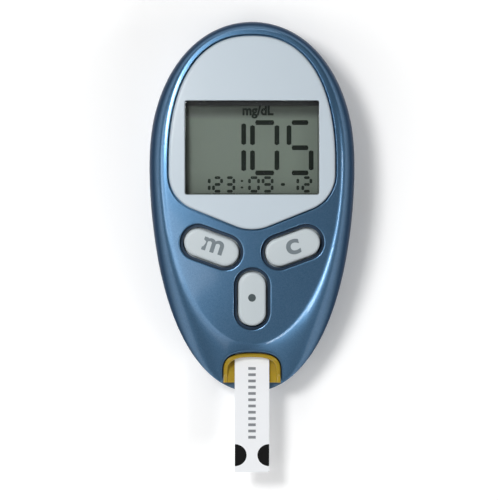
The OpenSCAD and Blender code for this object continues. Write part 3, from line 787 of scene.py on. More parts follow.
class MeterColours(bpy.types.PropertyGroup):
    """Linear colours of the finishes that show most"""

    case: colour_property("Case", "Lacquer of the front cover", tone(82, 122, 158))
    case_light: colour_property("Case flakes", "Bright flakes in the lacquer", tone(110, 150, 186))
    # Key wells: the lacquer there is darkened as painted shade.
    painted_well_shade: colour_property("Key wells", "Painted shade in the wells round the keys", tone(34, 56, 78))
    case_back: colour_property("Rear cover", "Plastic of the rear cover and its door", tone(62, 92, 120))
    panel: colour_property("Face panel", "Moulded face panel", tone(184, 196, 205))
    keys: colour_property("Keys", "Key caps", tone(185, 194, 198))
    legend: colour_property("Legends", "Print on the keys", tone(106, 117, 123))
    display: colour_property("Display", "Ground of the display", tone(106, 116, 106))
    segments: colour_property("Segments", "Dark segments of the display", tone(16, 22, 18))
    amber: colour_property("Amber", "Liner of the strip mouth", tone(166, 140, 44))
    strip: colour_property("Test strip", "Film of the test strip", tone(230, 232, 235))


def sizes():
    """The sizes that are set in the scene."""
    return bpy.context.scene.meter_sizes


def colours():
    """The colours that are set in the scene."""
    return bpy.context.scene.meter_colours


# ---- Covers ----

SLOT_RIM = ((-12.65, 1.65), (12.65, 27.0))
RAIL_X, RAIL_HALF, RAIL_ENDS_Y = 11.2, 0.3, (4.6, 27.0)
RAIL_FACE_Z, RAIL_BACK_Z = 0.75, 1.2
TONGUE = ((-4, 2.5), (4, 3.9))


def front_cover_shell(s):
    """Upper cover: the domed plateau runs over a rounded shoulder to the joint. Open at the window, the
    keys and the mouth, and stepped down in the panel's recess and in the wells round the keys."""
    step = s.point_step
    outline = even(oval(EGG, np.linspace(0, 2 * math.pi, 2000, endpoint=False)), step * 1.6)
    turns = np.linspace(0, 2 * math.pi, len(outline), endpoint=False)
    rings = [part_way(PLATEAU, EGG, turns, t) for t in ring_steps(SHOULDER_RING_N, SHOULDER_RINGS)]
    recess = even(shield(RECESS_GAP), step * 1.3)
    window = even(round_rect(WINDOW, 0.5, 0.3), step * 2)
    wells = [even(stadium(key, WELL_LIP), step) for key in KEYS.values()]
    holes = [even(stadium(key, KEY_GAP), step) for key in KEYS.values()]
    opening = even(mouth(), step)
    loops = [*rings, *edge_rings(recess, s.recess_edge), window, *edge_rings(opening, s.mouth_edge)]
    for well, hole in zip(wells, holes):
        loops += [*edge_rings(well, s.well_edge), hole]
    points, triangles, middle = plan(loops, rings[0], step=1.3)
    kind = kinds_of(middle, [(1, rings[-1:]), (2, [recess]), (3, wells), (0, [*holes, window, opening])])
    kind[~within(rings[-1], middle)] = 0
    depths = np.array([0, 0, RECESS_DEPTH, s.well_depth])
    rims = [(recess, s.recess_edge), (opening, s.mouth_edge), *((well, s.well_edge) for well in wells)]

    def face(kinds, at):
        x, y = at.T
        turn, t = between(PLATEAU, EGG, at)
        skin = np.maximum(shoulder_height(x, y, turn, t) - edge_drop(at, *rims), SPLIT_Z + JOINT_GAP)
        return at_height(x, y, np.where(kinds == 1, skin, dome(x, y) - depths[kinds]))

    def back(kinds, at):
        turn, t, (x, y) = lining(at, PLATEAU, inset=1.2, fade=2.2)
        return at_height(x, y, shoulder_height(x, y, turn, t, ROOF))

    return terrace(points, triangles, kind, face, back)


def in_a_well(middles):
    """Whether faces of the front cover lie in a key's well, on its floor or its walls; these get a darker
    lacquer as painted shade.
    """
    flat, z = middles[:, :2], middles[:, 2]
    wells = [stadium(key, WELL_LIP) for key in KEYS.values()]
    low = z < dome(*flat.T) - sizes().well_edge
    high = z > dome(*flat.T) - ROOF + 0.1
    return low & high & np.any([within(well, flat) | (reach_to(well, flat) < 0.01) for well in wells], 0)


def flank_hole(radius):
    """The round hole of the data jack, drawn on the flank: a circle in Y and Z carried to the plan."""
    a = np.linspace(0, 2 * math.pi, 64, endpoint=False)
    y, z = radius * np.cos(a), JACK_Z + radius * np.sin(a)
    t = flank_share(z)
    turn = np.arcsin(np.clip((y - WIDEST_Y) / 40, -1, 1))
    for _ in range(30):
        here = part_way(BACK, EGG, turn, t)[:, 1]
        there = part_way(BACK, EGG, turn + NUDGE, t)[:, 1]
        turn = turn - np.clip((here - y) / ((there - here) / NUDGE), -0.2, 0.2)
    loop = part_way(BACK, EGG, turn, t)
    ahead = np.roll(loop, -1, 0)
    anticlockwise = np.sum(loop[:, 0] * ahead[:, 1] - ahead[:, 0] * loop[:, 1]) > 0
    return loop if anticlockwise else loop[::-1]


def door_loop(o=0.0):
    """The battery door's outline, wider by o: straight sides, and the curve where the flank has risen to
    its seat."""
    half, low = DOOR_HALF + o, DOOR_LOW_Y - o
    r = 1.2
    end = part_way(BACK, EGG, np.linspace(0, math.pi, 721), flank_share(DOOR_SEAT_Z))
    end = end[np.abs(end[:, 0]) < half]
    side = np.linspace(low + r, end[0, 1], 60)
    return np.vstack([
        arc(half - r, low + r, r, -90, 0, 12),
        np.stack([np.full(60, half), side], -1)[1:],
        end,
        np.stack([np.full(60, -half), side[::-1]], -1)[:-1],
        arc(r - half, low + r, r, 180, 270, 12),
    ])


def rear_cover_shell(s):
    """Lower cover: flat back and rounded flank up to the joint. Stepped for the door's slot, the cell's
    pocket, the screws and the label, and open at the jack."""
    step = s.point_step
    turns = np.linspace(0, 2 * math.pi, 260, endpoint=False)
    rings = [part_way(BACK, EGG, turns, t) for t in ring_steps(FLANK_N, FLANK_RINGS)]
    slot = even(door_loop(DOOR_GAP), step)
    slot_rim = even(round_rect(SLOT_RIM, 1.5), 1.0)
    pocket, cell_wall = (disc(0, CELL_Y, r, 160) for r in (CELL_POCKET_R, CELL_WALL_R))
    label = even(round_rect(LABEL, 1.0, 0.15), step * 1.5)
    jack = flank_hole(JACK_R)
    bores = [disc(*place, SCREW_BORE_R) for place in SCREWS]
    posts = [disc(*place, SCREW_POST_R) for place in SCREWS]
    shanks = [disc(*place, SCREW_SHANK_R, 48) for place in SCREWS]
    door_bores, port_bores = bores[:DOOR_SCREWS], bores[DOOR_SCREWS:]
    rims = [(slot, SLOT_EDGE), (label, LABEL_EDGE), *((bore, SLOT_EDGE) for bore in port_bores)]
    loops = [*rings, *edge_rings(slot, SLOT_EDGE), slot_rim, pocket, cell_wall]
    loops += edge_rings(label, LABEL_EDGE)
    loops += [jack, widened(jack, 0.1), widened(jack, 0.25), *posts, *shanks, *door_bores]
    for bore in port_bores:
        loops += edge_rings(bore, SLOT_EDGE)
    points, triangles, middle = plan(loops, rings[0], step=1.6)
    areas = (
        # Outlines, level of the outer face (0 for the cover's own skin) and least level of the inner face
        (rings[-1:], 0, 0),
        ([slot_rim], 0, 2.4),
        (posts[DOOR_SCREWS:], 0, 6.55),
        ([slot], DOOR_SEAT_Z, 2.4),
        ([cell_wall], DOOR_SEAT_Z, 6.2),
        ([pocket], 5.4, 6.2),
        (posts[:DOOR_SCREWS], DOOR_SEAT_Z, 6.55),
        (door_bores, 3.0, 6.55),
        (port_bores, 2.6, 6.55),
        ([label], 0.25, 0),
    )
    kind = kinds_of(middle, [*((i, area[0]) for i, area in enumerate(areas, 1)), (0, [*shanks, jack])])
    kind[~within(rings[-1], middle)] = 0
    face_level = np.array([0, *(area[1] for area in areas)])
    back_level = np.array([0, *(area[2] for area in areas)])

    def notch(x, y, z):
        """The rim is lower under the strip mouth."""
        return np.where((np.abs(x) < MOUTH_HALF) & (y < -25), np.minimum(z, 6.85), z)

    def face(kinds, at):
        x, y = at.T
        skin = notch(x, y, np.minimum(flank_height(between(BACK, EGG, at)[1]), SPLIT_Z - JOINT_GAP))
        lifted = np.minimum(skin + edge_drop(at, *rims), DOOR_SEAT_Z)
        skin = np.where(skin < DOOR_SEAT_Z, lifted, skin)
        level = face_level[kinds]
        return at_height(x, y, np.where(level == 0, skin, level))

    def back(kinds, at):
        _, t, (x, y) = lining(at, BACK, inset=0.8, fade=3)
        z = notch(x, y, np.maximum(flank_height(t, FLOOR_Z), back_level[kinds]))
        inner = at_height(x, y, z)
        sleeve = at_height(at[:, 0] - 1.7, at[:, 1], flank_height(t))
        on_jack = reach_to(jack, at, 1.0) < 0.01
        return np.where(on_jack[:, None], sleeve, inner)

    return terrace(points, triangles, kind, face, back, flip=True)


def battery_door_shell(s):
    """Sliding door: its face continues the flat back and the flank, with a round edge and a thumb hollow
    whose ridges run across; a rail on each side and a tongue at the inner end."""
    body = even(door_loop(), s.point_step)
    low, high = RAIL_ENDS_Y
    rails = [even(round_rect(((x - RAIL_HALF, low), (x + RAIL_HALF, high)), 0.2), 0.8)
             for x in (-RAIL_X, RAIL_X)]
    tongue = even(round_rect(TONGUE, 0.3), 0.4)
    hollow = disc(0, HOLLOW_Y, HOLLOW_R, 120)
    field = [disc(0, HOLLOW_Y, r, max(12, int(r * 18))) for r in np.arange(0.25, HOLLOW_R + 0.3, 0.25)]
    turns = np.linspace(0, math.pi, 200)
    far_corners = [[-30, WIDEST_Y], [-30, 40], [30, 40], [30, WIDEST_Y]]
    contours = [np.vstack([part_way(BACK, EGG, turns, t), far_corners])
                for t in ring_steps(FLANK_N, FLANK_RINGS)[:12]]
    loops = [*edge_rings(body, DOOR_EDGE, -1), *rails, tongue, *field, *contours]
    points, triangles, middle = plan(loops, body, step=1.4)
    kind = kinds_of(middle, [(2, [*rails, tongue]), (1, [body])])

    def face(kinds, at):
        y = at[:, 1]
        slope = np.clip(reach_to(hollow, at, 6.0) / HOLLOW_SLOPE, 0, 1)
        wave = 0.5 + 0.5 * np.cos((y - HOLLOW_Y) * 2 * math.pi / RIDGE_PITCH)
        dent = HOLLOW_DEPTH * slope ** 2 * (3 - 2 * slope) - RIDGE_HEIGHT * slope * wave
        dent = np.where(within(hollow, at), dent, 0)
        skin = flank_height(between(BACK, EGG, at)[1]) + edge_drop(at, (body, DOOR_EDGE)) + dent
        return at_height(*at.T, np.where(kinds == 1, np.minimum(skin, DOOR_BACK_Z), RAIL_FACE_Z))

    def back(kinds, at):
        return at_height(*at.T, np.where(kinds == 1, DOOR_BACK_Z, RAIL_BACK_Z))

    return terrace(points, triangles, kind, face, back, flip=True)


# ---- Plates, keys, segments and lettering ----

PRINT_HEIGHT = 0.02
PRINT_SINK = 0.05


def plate(outline, face_height, back_height, edge, step, holes=(), hole_edge=0.1, field=2.0):
    """A plate of an outline with quarter-round edges. The heights are numbers or functions of X and Y."""
    outline = even(outline, step)
    holes = [even(hole, step) for hole in holes]
    loops = edge_rings(outline, edge, -1)
    for hole in holes:
        loops += edge_rings(hole, hole_edge)
    points, triangles, middle = plan(loops, outline, step=field)
    kind = kinds_of(middle, [(1, [outline]), (0, holes)])
    rims = [(outline, edge), *((hole, hole_edge) for hole in holes)]

    def height(given, at):
        return given(*at.T) if callable(given) else np.full(len(at), float(given))

    def face(kinds, at):
        return at_height(*at.T, height(face_height, at) - edge_drop(at, *rims))

    def back(kinds, at):
        return at_height(*at.T, height(back_height, at))

    return terrace(points, triangles, kind, face, back)


def key_shell(key, s):
    """A key: domed cap with a round edge, the retaining flange under the roof and the plunger that presses
    the rubber dome."""
    cap = even(stadium(key), s.point_step * 0.8)
    flange = even(stadium(key, FLANGE_RIM), s.point_step * 1.5)
    foot = disc(key[0], key[1], PLUNGER_R, 48)
    loops = [*edge_rings(cap, s.key_edge, -1), flange, foot]
    points, triangles, middle = plan(loops, cap, step=0.7)
    kind = kinds_of(middle, [(1, [flange]), (2, [cap]), (3, [foot])])

    def face(kinds, at):
        top = cap_height(key, *at.T) - edge_drop(at, (cap, s.key_edge))
        return at_height(*at.T, np.where(kinds == 1, dome(*at.T) - FLANGE_TOP, top))

    def back(kinds, at):
        return at_height(*at.T, np.where(kinds == 3, PLUNGER_Z, dome(*at.T) - FLANGE_BACK))

    return terrace(points, triangles, kind, face, back)


def bars(ends, thickness, low, high, pointed):
    """Display segments: bars from one end to the other, six-sided with pointed ends, as upright prisms.
    Each row of ends holds X and Y of both ends of a bar."""
    ends = np.asarray(ends, float)
    a, b = ends[:, :2], ends[:, 2:]
    along = (b - a) / np.linalg.norm(b - a, axis=1, keepdims=True)
    side = np.stack([-along[:, 1], along[:, 0]], -1) * thickness / 2
    tip = along * thickness / 2 * pointed
    flat = np.stack([a, a + tip - side, b - tip - side, b, b - tip + side, a + tip + side], 1).reshape(-1, 2)
    count = len(flat)
    places = np.vstack([at_height(*flat.T, high), at_height(*flat.T, low)])
    base = (np.arange(len(ends)) * 6)[:, None, None]
    fan = np.array([[0, 1, 2], [0, 2, 3], [0, 3, 4], [0, 4, 5]])[None]
    i = np.arange(6)
    top = (base + fan).reshape(-1, 3)
    bottom = (base + fan[:, :, ::-1]).reshape(-1, 3) + count
    near, far = base[:, :, 0] + i, base[:, :, 0] + (i + 1) % 6
    walls = [np.stack(corners, -1).reshape(-1, 3)
             for corners in ([near + count, far + count, far], [near + count, far, near])]
    return places, np.vstack([top, bottom, *walls])


# Bars that are dark in each sign: a to f clockwise from the top, g across the middle
SEGMENTS = {
    "0": "abcdef", "1": "bc", "2": "abged", "3": "abgcd", "5": "afgcd", "9": "abcdfg", "-": "g",
}


def digit_bars(text, x, y, width, height, pitch, gap):
    """Ends of the bars of a row of seven-bar digits, its lower left corner at X and Y."""
    w, h, g = width, height, gap
    ends = {
        "a": (g, h, w - g, h), "g": (g, h / 2, w - g, h / 2), "d": (g, 0, w - g, 0),
        "f": (0, h / 2 + g, 0, h - g), "e": (0, g, 0, h / 2 - g),
        "b": (w, h / 2 + g, w, h - g), "c": (w, g, w, h / 2 - g),
    }
    rows = []
    for k, sign in enumerate(text):
        for part in SEGMENTS[sign]:
            x0, y0, x1, y1 = ends[part]
            rows.append((x + k * pitch + x0, y + y0, x + k * pitch + x1, y + y1))
    return rows


def flat_text(name, text, size, bold):
    """Points and triangles of a text in the built-in typeface, round the origin."""
    curve = bpy.data.curves.new(name, "FONT")
    curve.body = text
    curve.align_x, curve.align_y = "CENTER", "CENTER"
    curve.size = size
    curve.offset = bold
    curve.resolution_u = 6
    holder = bpy.data.objects.new(name + "_text", curve)
    bpy.context.scene.collection.objects.link(holder)
    bpy.context.view_layer.update()
    flat = bpy.data.meshes.new_from_object(holder.evaluated_get(bpy.context.evaluated_depsgraph_get()))
    bpy.data.objects.remove(holder)
    bpy.data.curves.remove(curve)
    flat.calc_loop_triangles()
    points = np.zeros(len(flat.vertices) * 3)
    flat.vertices.foreach_get("co", points)
    triangles = np.zeros(len(flat.loop_triangles) * 3, int)
    flat.loop_triangles.foreach_get("vertices", triangles)
    bpy.data.meshes.remove(flat)
    xy = points.reshape(-1, 3)[:, :2]
    return xy - (xy.min(0) + xy.max(0)) / 2, triangles.reshape(-1, 3)


def lettering(name, text, size, place, turn, height, material, body, bold, stretch):
    """Generic lettering as a thin raised mesh that follows a surface: a text made a mesh, turned and
    placed, each point then lifted to the surface's height."""
    xy, triangles = flat_text(name, text, size, bold)
    xy = xy * (stretch, 1)
    triangles = wound(xy, triangles)[0]
    xy, index = merged(placed(xy, turn, place))
    triangles = index[triangles]

    def lifted(up):
        return lambda kinds, at: at_height(*at.T, height(*at.T) + up)

    shell = terrace(xy, triangles, np.ones(len(triangles), int), lifted(PRINT_HEIGHT), lifted(-PRINT_SINK))
    return piece(name, shell, material, body)


# ---- Operators: one for each group of pieces ----


class Builder:
    """What the operators share: each builds its pieces with the colours and sizes of the scene."""

    def execute(self, context):
        self.build(colours(), sizes())
        return {"FINISHED"}


class METER_OT_front_cover(Builder, bpy.types.Operator):
    """Build the lacquered front cover"""

    bl_idname = "meter.front_cover"
    bl_label = "Front cover"

    def build(self, c, s):
        # The lacquer's colour is darkened on its steep flanks as painted shade.
        finish = lacquer("blue lacquer", c.case, c.case_light, metallic=0.78, roughness=0.31, coat=0.8,
                         coat_roughness=0.1, left_in_flank_shade=0.22)
        # A darker lacquer on the wells round the keys: painted shade.
        painted_shade = plastic("thin lacquer in the wells", c.painted_well_shade, 0.55, shift=0.06, grain=3000.0, bump=0.1,
                       metallic=0.3)
        piece("front_shell", front_cover_shell(s), finish, "case", ["front_cover"],
              other=(painted_shade, in_a_well))


class METER_OT_rear_cover(Builder, bpy.types.Operator):
    """Build the rear cover, its door and its label"""

    bl_idname = "meter.rear_cover"
    bl_label = "Rear cover, door and label"

    def build(self, c, s):
        finish = plastic("rear shell plastic", c.case_back, 0.42, grain=5000.0, bump=0.15, coat=0.1,
                         coat_roughness=0.3)
        piece("rear_shell", rear_cover_shell(s), finish, "case", ["rear_cover"])
        piece("sliding_battery_door", battery_door_shell(s), finish, "door", ["battery_door"])
        film = plastic("bare label film", tone(204, 208, 210), 0.35, shift=0.03, grain=1500.0, bump=0.02)
        label = plate(round_rect(LABEL, 0.9), 0.25, 0.05, edge=0.04, step=0.5)
        piece("bare_back_label", label, film, "case", ["rear_label"])


class METER_OT_face_panel(Builder, bpy.types.Operator):
    """Build the pale face panel and the clear pane in its window"""

    bl_idname = "meter.face_panel"
    bl_label = "Face panel and pane"

    def build(self, c, s):
        back = under_dome(PANEL_BACK)
        panel = plate(shield(), under_dome(-PANEL_PROUD), back, edge=s.panel_edge, step=s.point_step,
                      holes=[round_rect(WINDOW, 0.35)], hole_edge=0.2, field=1.6)
        finish = plastic("panel plastic", c.panel, 0.5, shift=0.03, spread=0.05, grain=7000.0, bump=0.04,
                         coat=0.2, coat_roughness=0.2)
        piece("pale_face_panel", panel, finish, "case", ["face_panel"])
        acrylic = clear("clear acrylic", (0.93, 0.96, 0.95))
        outline = round_rect(WINDOW, 0.3, -PANE_GAP)
        pane = plate(outline, under_dome(PANE_TOP), back, edge=0.12, step=0.5)
        foot_outline = round_rect(WINDOW, 0.5, 0.6)
        foot = plate(foot_outline, under_dome(PANE_FOOT_TOP), back, edge=0.05, step=0.5,
                     holes=[outline], hole_edge=0.02)
        piece("clear_pane", pane, acrylic, "case", ["display_window"])
        piece("clear_pane_foot", foot, acrylic, "case", ["display_window"])


# Rows of digits: text, X and Y of the lower left corner, width and height of a digit, pitch, and the gap
# between its bars
BIG_ROWS = (("0", 0.1, 6.75, 4.85, 10.0, 0, 0.5), ("5", 7.35, 6.75, 4.4, 10.0, 0, 0.5))
SMALL_ROWS = (
    ("123", -10.1, 3.1, 1.6, 2.7, 2.45, 0.2),
    ("09", -0.5, 3.1, 1.8, 2.7, 2.7, 0.2),
    ("-", 5.6, 3.1, 1.1, 2.7, 2.2, 0.1),
    ("12", 7.5, 3.1, 1.6, 2.7, 2.6, 0.2),
)
# Single bars: X and Y of both ends. The large ones are the digit 1, the small ones the colon of the time
BIG_BARS = [(-1.65, 7.1, -1.65, 11.3), (-1.65, 12.3, -1.65, 16.6)]
SMALL_BARS = [(-2.0, 3.6, -2.0, 4.1), (-2.0, 4.9, -2.0, 5.4)]


class METER_OT_display(Builder, bpy.types.Operator):
    """Put the segments on the liquid crystal cell and finish its sheets"""

    bl_idname = "meter.display"
    bl_label = "Display"

    def build(self, c, s):
        ink = {"roughness": 0.6, "shift": 0.1, "grain": 9000.0, "bump": 0.0, "specular": 0.1}
        dark = plastic("display segments", c.segments, **ink)
        faint = plastic("small display segments", tone(30, 37, 32), **ink)
        for name, rows, single, thickness, pointed, finish in (
            ("display_digits", BIG_ROWS, BIG_BARS, 0.95, 0.5, dark),
            ("display_small_digits", SMALL_ROWS, SMALL_BARS, 0.55, 0.6, faint),
        ):
            ends = [bar for row in rows for bar in digit_bars(*row)] + single
            shell = bars(ends, thickness, LCD_TOP - 0.01, LCD_TOP + 0.02, pointed)
            piece(name, shell, finish, "case", ())
        lettering("display_unit", "mg/dL", 2.7, (1.2, 18.9), 0, lambda x, y: np.full(len(x), LCD_TOP), dark,
                  "case", bold=0.1, stretch=0.92)
        ground = plastic("display ground", c.display, 0.35, shift=0.06, spread=0.05, grain=6000.0, drift=60.0,
                         bump=0.01)
        shade_edges(ground)
        glass = plastic("cell glass", tone(150, 160, 152), 0.1, shift=0.02, bump=0.0)
        dress({
            "lcd_front_polarizer": ground,
            "lcd_front_glass": glass,
            "lcd_rear_glass": glass,
            "lcd_rear_polarizer": plastic("rear film", tone(165, 172, 165), 0.3),
            "lcd_holder": plastic("white holder", tone(226, 228, 226), 0.45),
            "backlight_panel": plastic("light guide", tone(235, 240, 238), 0.2),
            # The gasket is dark foam, and its wide band along the window's top also stands in for the frame's
            # shadow there: painted shade in part.
            "display_gasket": plastic("dark foam", tone(36, 37, 38), 0.9, grain=2500.0, bump=0.6),
            "elastomer_connector": plastic("striped rubber", tone(60, 60, 62), 0.7),
            "backlight_led": plastic("lamp resin", tone(240, 235, 205), 0.3),
        })


class METER_OT_keys(Builder, bpy.types.Operator):
    """Build the three keys and print their legends"""

    bl_idname = "meter.keys"
    bl_label = "Keys"

    def build(self, c, s):
        finish = plastic("key plastic", c.keys, 0.42, shift=0.03, spread=0.06, grain=8000.0, bump=0.05,
                         coat=0.1, coat_roughness=0.25)
        for name, key in KEYS.items():
            piece(f"{name}_key_cap", key_shell(key, s), finish, f"{name}_key", [f"{name}_button"])

        def over(name, up=0.0):
            return lambda x, y: cap_height(KEYS[name], x, y) + up

        letter_ink = plastic("key print", c.legend, 0.5, shift=0.08, bump=0.0)
        # Key, letter, size, place, turn and stretch
        for name, letter, size, place, turn, stretch in (
            ("left", "m", 5.4, (-7.7, -7.8), -18, 1.12),
            ("right", "c", 6.0, (8.15, -8.0), 15, 1.15),
        ):
            lettering(f"{name}_key_legend", letter, size, place, turn, over(name), letter_ink,
                      f"{name}_key", bold=0.13, stretch=stretch)
        dot_ink = plastic("dot print", tone(60, 72, 76), 0.5, shift=0.08, bump=0.0)
        dot = plate(disc(0, -18.1, 0.78, 40), over("centre", PRINT_HEIGHT), over("centre", -PRINT_SINK),
                    edge=0.02, step=0.2)
        piece("centre_key_dot", dot, dot_ink, "centre_key")
        rubber = plastic("silicone", tone(168, 172, 174), 0.6, grain=3000.0, bump=0.1)
        dress({name: rubber for name in ("keypad_mat", "key_dome_left", "key_dome_right", "key_dome_centre")})


def liner_shell():
    """Amber liner of the strip mouth: a floor, and a wall along the mouth that stays a little under the
    cover's face and runs out where the mouth leaves it, all one piece with soft upper edges."""
    outer, inner = even(mouth(0.15), 0.25), even(mouth(1.0), 0.25)
    end = even(round_rect(((-7, -35.1), (7, -20)), 0.3), 0.5)
    rims = ((outer, LINER_EDGE), (inner, LINER_EDGE))
    loops = [outer, *edge_rings(outer, LINER_EDGE, -1)[:-1], inner, *edge_rings(inner, LINER_EDGE)[:-1], end]
    points, triangles, middle = plan(loops, outer, step=0.5)
    kind = kinds_of(middle, [(2, [outer]), (1, [inner])])
    kind[~(within(outer, middle) & within(end, middle))] = 0

    def face(kinds, at):
        cover = shoulder_height(*at.T, *between(PLATEAU, EGG, at))
        wall = np.clip(cover - 0.7, 8.4, 10.4) - edge_drop(at, *rims)
        return at_height(*at.T, np.where(kinds == 2, wall, LINER_FLOOR_Z))

    def back(kinds, at):
        return at_height(*at.T, 7.0)

    return terrace(points, triangles, kind, face, back)


class METER_OT_strip_port(Builder, bpy.types.Operator):
    """Build the amber liner of the strip mouth and finish what lies behind it"""

    bl_idname = "meter.strip_port"
    bl_label = "Strip port"

    def build(self, c, s):
        amber = plastic("amber liner", c.amber, 0.18, shift=0.15, spread=0.05, grain=1500.0, drift=400.0,
                        bump=0.02, coat=0.3, coat_roughness=0.05)
        join(amber.node_tree, amber.node_tree.nodes["Principled BSDF"], [
            ("Subsurface Weight", 0.4),
            ("Subsurface Radius", (0.0012, 0.0007, 0.0001)),
            ("Subsurface Scale", 1.0),
        ])
        piece("amber_port_liner", liner_shell(), amber, "case", ["port_light_lens"])
        dress({
            "port_leds": plastic("lamp resin", tone(240, 235, 205), 0.3),
            "strip_connector": plastic("ivory plastic", tone(228, 222, 204), 0.45),
            "strip_contacts": plastic("gold contacts", tone(214, 178, 96), 0.25, metallic=1.0),
        })


# Half ovals at the strip's edges: distance of their middles from the centre line, Y, reach inwards, half
# length
SAMPLE_MARK = (3.43, -49.6, 2.35, 2.2)
# Dashes across the strip: first Y, end of the row, pitch, thickness of each along Y, and width
DASH_ROW = (-32.0, -46.5, -1.25, 0.55, 1.5)


class METER_OT_test_strip(Builder, bpy.types.Operator):
    """Build the printed test strip"""

    bl_idname = "meter.test_strip"
    bl_label = "Test strip"

    def build(self, c, s):
        film = plastic("strip film", c.strip, 0.32, shift=0.03, grain=5000.0, drift=300.0, bump=0.02)
        ink = plastic("black ink", tone(14, 14, 15), 0.6, shift=0.1, specular=0.1)
        grey = plastic("grey ink", tone(120, 124, 128), 0.5, shift=0.2, drift=900.0)
        cover = plate(round_rect(STRIP_FILM, 0.25), STRIP_TOP, STRIP_FILM_BACK, edge=0.06, step=0.4)
        piece("printed_strip_film", cover, film, "strip", ["strip_top_film"])
        middle, y, reach, half = SAMPLE_MARK
        marks = []
        for side, start in ((-1, -90), (1, 90)):
            a = np.radians(np.linspace(start, start + 180, 41))
            outline = np.stack([side * middle + reach * np.cos(a), y + half * np.sin(a)], -1)
            marks.append(plate(outline, STRIP_TOP + 0.012, STRIP_TOP - PRINT_SINK, edge=0.01, step=0.25))
        piece("strip_sample_marks", marks, ink, "strip")
        first, last, pitch, thickness, width = DASH_ROW
        dashes = [(0, y, 0, y - thickness) for y in np.arange(first, last, pitch)]
        prisms = bars(dashes, width, STRIP_TOP - 0.02, STRIP_TOP + 0.01, pointed=0.0)
        piece("strip_dash_print", prisms, grey, "strip")
        dress({
            "strip_base": film,
            "strip_spacer": plastic("spacer film", tone(228, 228, 224), 0.4),
            "strip_electrodes": plastic("carbon ink", tone(66, 66, 68), 0.45),
        })


class METER_OT_fittings(Builder, bpy.types.Operator):
    """Finish the screws, the jack, the battery with its contacts and the electronics"""

    bl_idname = "meter.fittings"
    bl_label = "Inner fittings"

    def build(self, c, s):
        steel = plastic("bright steel", tone(186, 188, 192), 0.28, metallic=1.0, spread=0.15, bump=0.03)
        chip = plastic("chip resin", tone(34, 35, 37), 0.5, grain=3500.0, bump=0.2)
        spring = plastic("spring metal", tone(208, 202, 180), 0.3, metallic=1.0)
        dress({
            "case_screws": steel,
            "battery_cell": steel,
            "battery_positive_clip": spring,
            "battery_negative_spring": spring,
            "data_jack_contacts": spring,
            "processor_chip": chip,
            "memory_chip": chip,
            "analog_chip": chip,
            "clock_crystal": plastic("can metal", tone(200, 200, 196), 0.22, metallic=1.0),
            "battery_pull_tab": plastic("blue film", tone(70, 116, 190), 0.3),
            "data_jack": plastic("jack plastic", tone(30, 30, 32), 0.35),
            "main_board": plastic("solder mask", tone(30, 92, 62), 0.3, drift=250.0, shift=0.25),
            "board_passives": plastic("ceramic parts", tone(158, 128, 92), 0.5),
            "beeper": plastic("beeper case", tone(38, 38, 40), 0.4),
            "panel_adhesive": plastic("bonding film", tone(216, 216, 212), 0.5),
        })


# ---- Stage, in metres ----

FLOOR_HALF = 4.0
FLOOR_DROP = 0.00002
FLOOR_LIFT, FAR_LIFT = 0.04, 0.75
LIFT_START, LIFT_END = 0.2, 0.9
WALL_LIFT = 1.0
BACKDROP_RADIUS, BACKDROP_HEIGHT, BACKDROP_SIDES = 3.9, 0.4, 96
WORLD_GREY = (0.04, 0.04, 0.04)

LENS, SENSOR = 400.0, 36.0
PICTURE_WIDTH = 0.1
PICTURE_MIDDLE = (-0.0004, -0.0086)
FAR_CLIP = 20

LAMPS = (
    # name, azimuth, elevation, distance, its two sides, power in W
    ("key", 148, 65, 0.55, (0.13, 0.13), 1.5),
    ("upper_left", 120, 50, 0.55, (0.2, 0.16), 0.25),
    ("left_glow", 215, 66, 0.55, (0.2, 0.2), 0.24),
    ("left_fill", 195, 46, 0.55, (0.3, 0.22), 0.28),
    ("left_edge", 180, 34, 0.55, (0.3, 0.1), 0.28),
    ("top_edge", 92, 28, 0.55, (0.3, 0.08), 0.28),
    ("lower_left", 228, 42, 0.55, (0.4, 0.22), 0.28),
    ("right_strip", -20, 38, 0.5, (0.4, 0.02), 0.6),
    ("lower_right_strip", -50, 42, 0.5, (0.4, 0.02), 0.44),
)


def stage_object(name, points, faces, material):
    """A mesh of the stage, linked to the scene."""
    mesh = bpy.data.meshes.new(name)
    mesh.from_pydata(points, [], faces)
    mesh.materials.append(material)
    obj = bpy.data.objects.new(name, mesh)
    bpy.context.scene.collection.objects.link(obj)
    return obj


def stage_finish(name, lift, far_lift):
    """Matt white, clear from behind. It also glows for camera, glossy and transmission rays alone, and so
    lights nothing matt: by lift near the object, and by far_lift where the lamps don't reach."""
    material, tree, shader = new_material(name)
    path = node(tree, "ShaderNodeLightPath").outputs
    seen = maths(tree, "MAXIMUM", path["Is Camera Ray"], path["Is Glossy Ray"])
    seen = maths(tree, "MAXIMUM", seen, path["Is Transmission Ray"])
    reach = node(tree, "ShaderNodeVectorMath", [(0, object_place(tree))], operation="LENGTH").outputs["Value"]
    rise = eased(tree, reach, LIFT_START, LIFT_END, lift, far_lift)
    join(tree, shader, [
        ("Base Color", (1, 1, 1, 1)), ("Roughness", 0.9), ("Specular IOR Level", 0.1),
        ("Emission Color", (1, 1, 1, 1)), ("Emission Strength", maths(tree, "MULTIPLY", seen, rise)),
    ])
    behind = node(tree, "ShaderNodeNewGeometry").outputs["Backfacing"]
    show_mix(tree, behind, shader.outputs[0], node(tree, "ShaderNodeBsdfTransparent").outputs[0])
    return material


def add_floor():
    """The pale floor just under the object."""
    half = FLOOR_HALF
    corners = [(-half, -half, 0), (half, -half, 0), (half, half, 0), (-half, half, 0)]
    floor = stage_object("floor", corners, [(0, 1, 2, 3)], stage_finish("pale floor", FLOOR_LIFT, FAR_LIFT))
    floor.location.z = -FLOOR_DROP


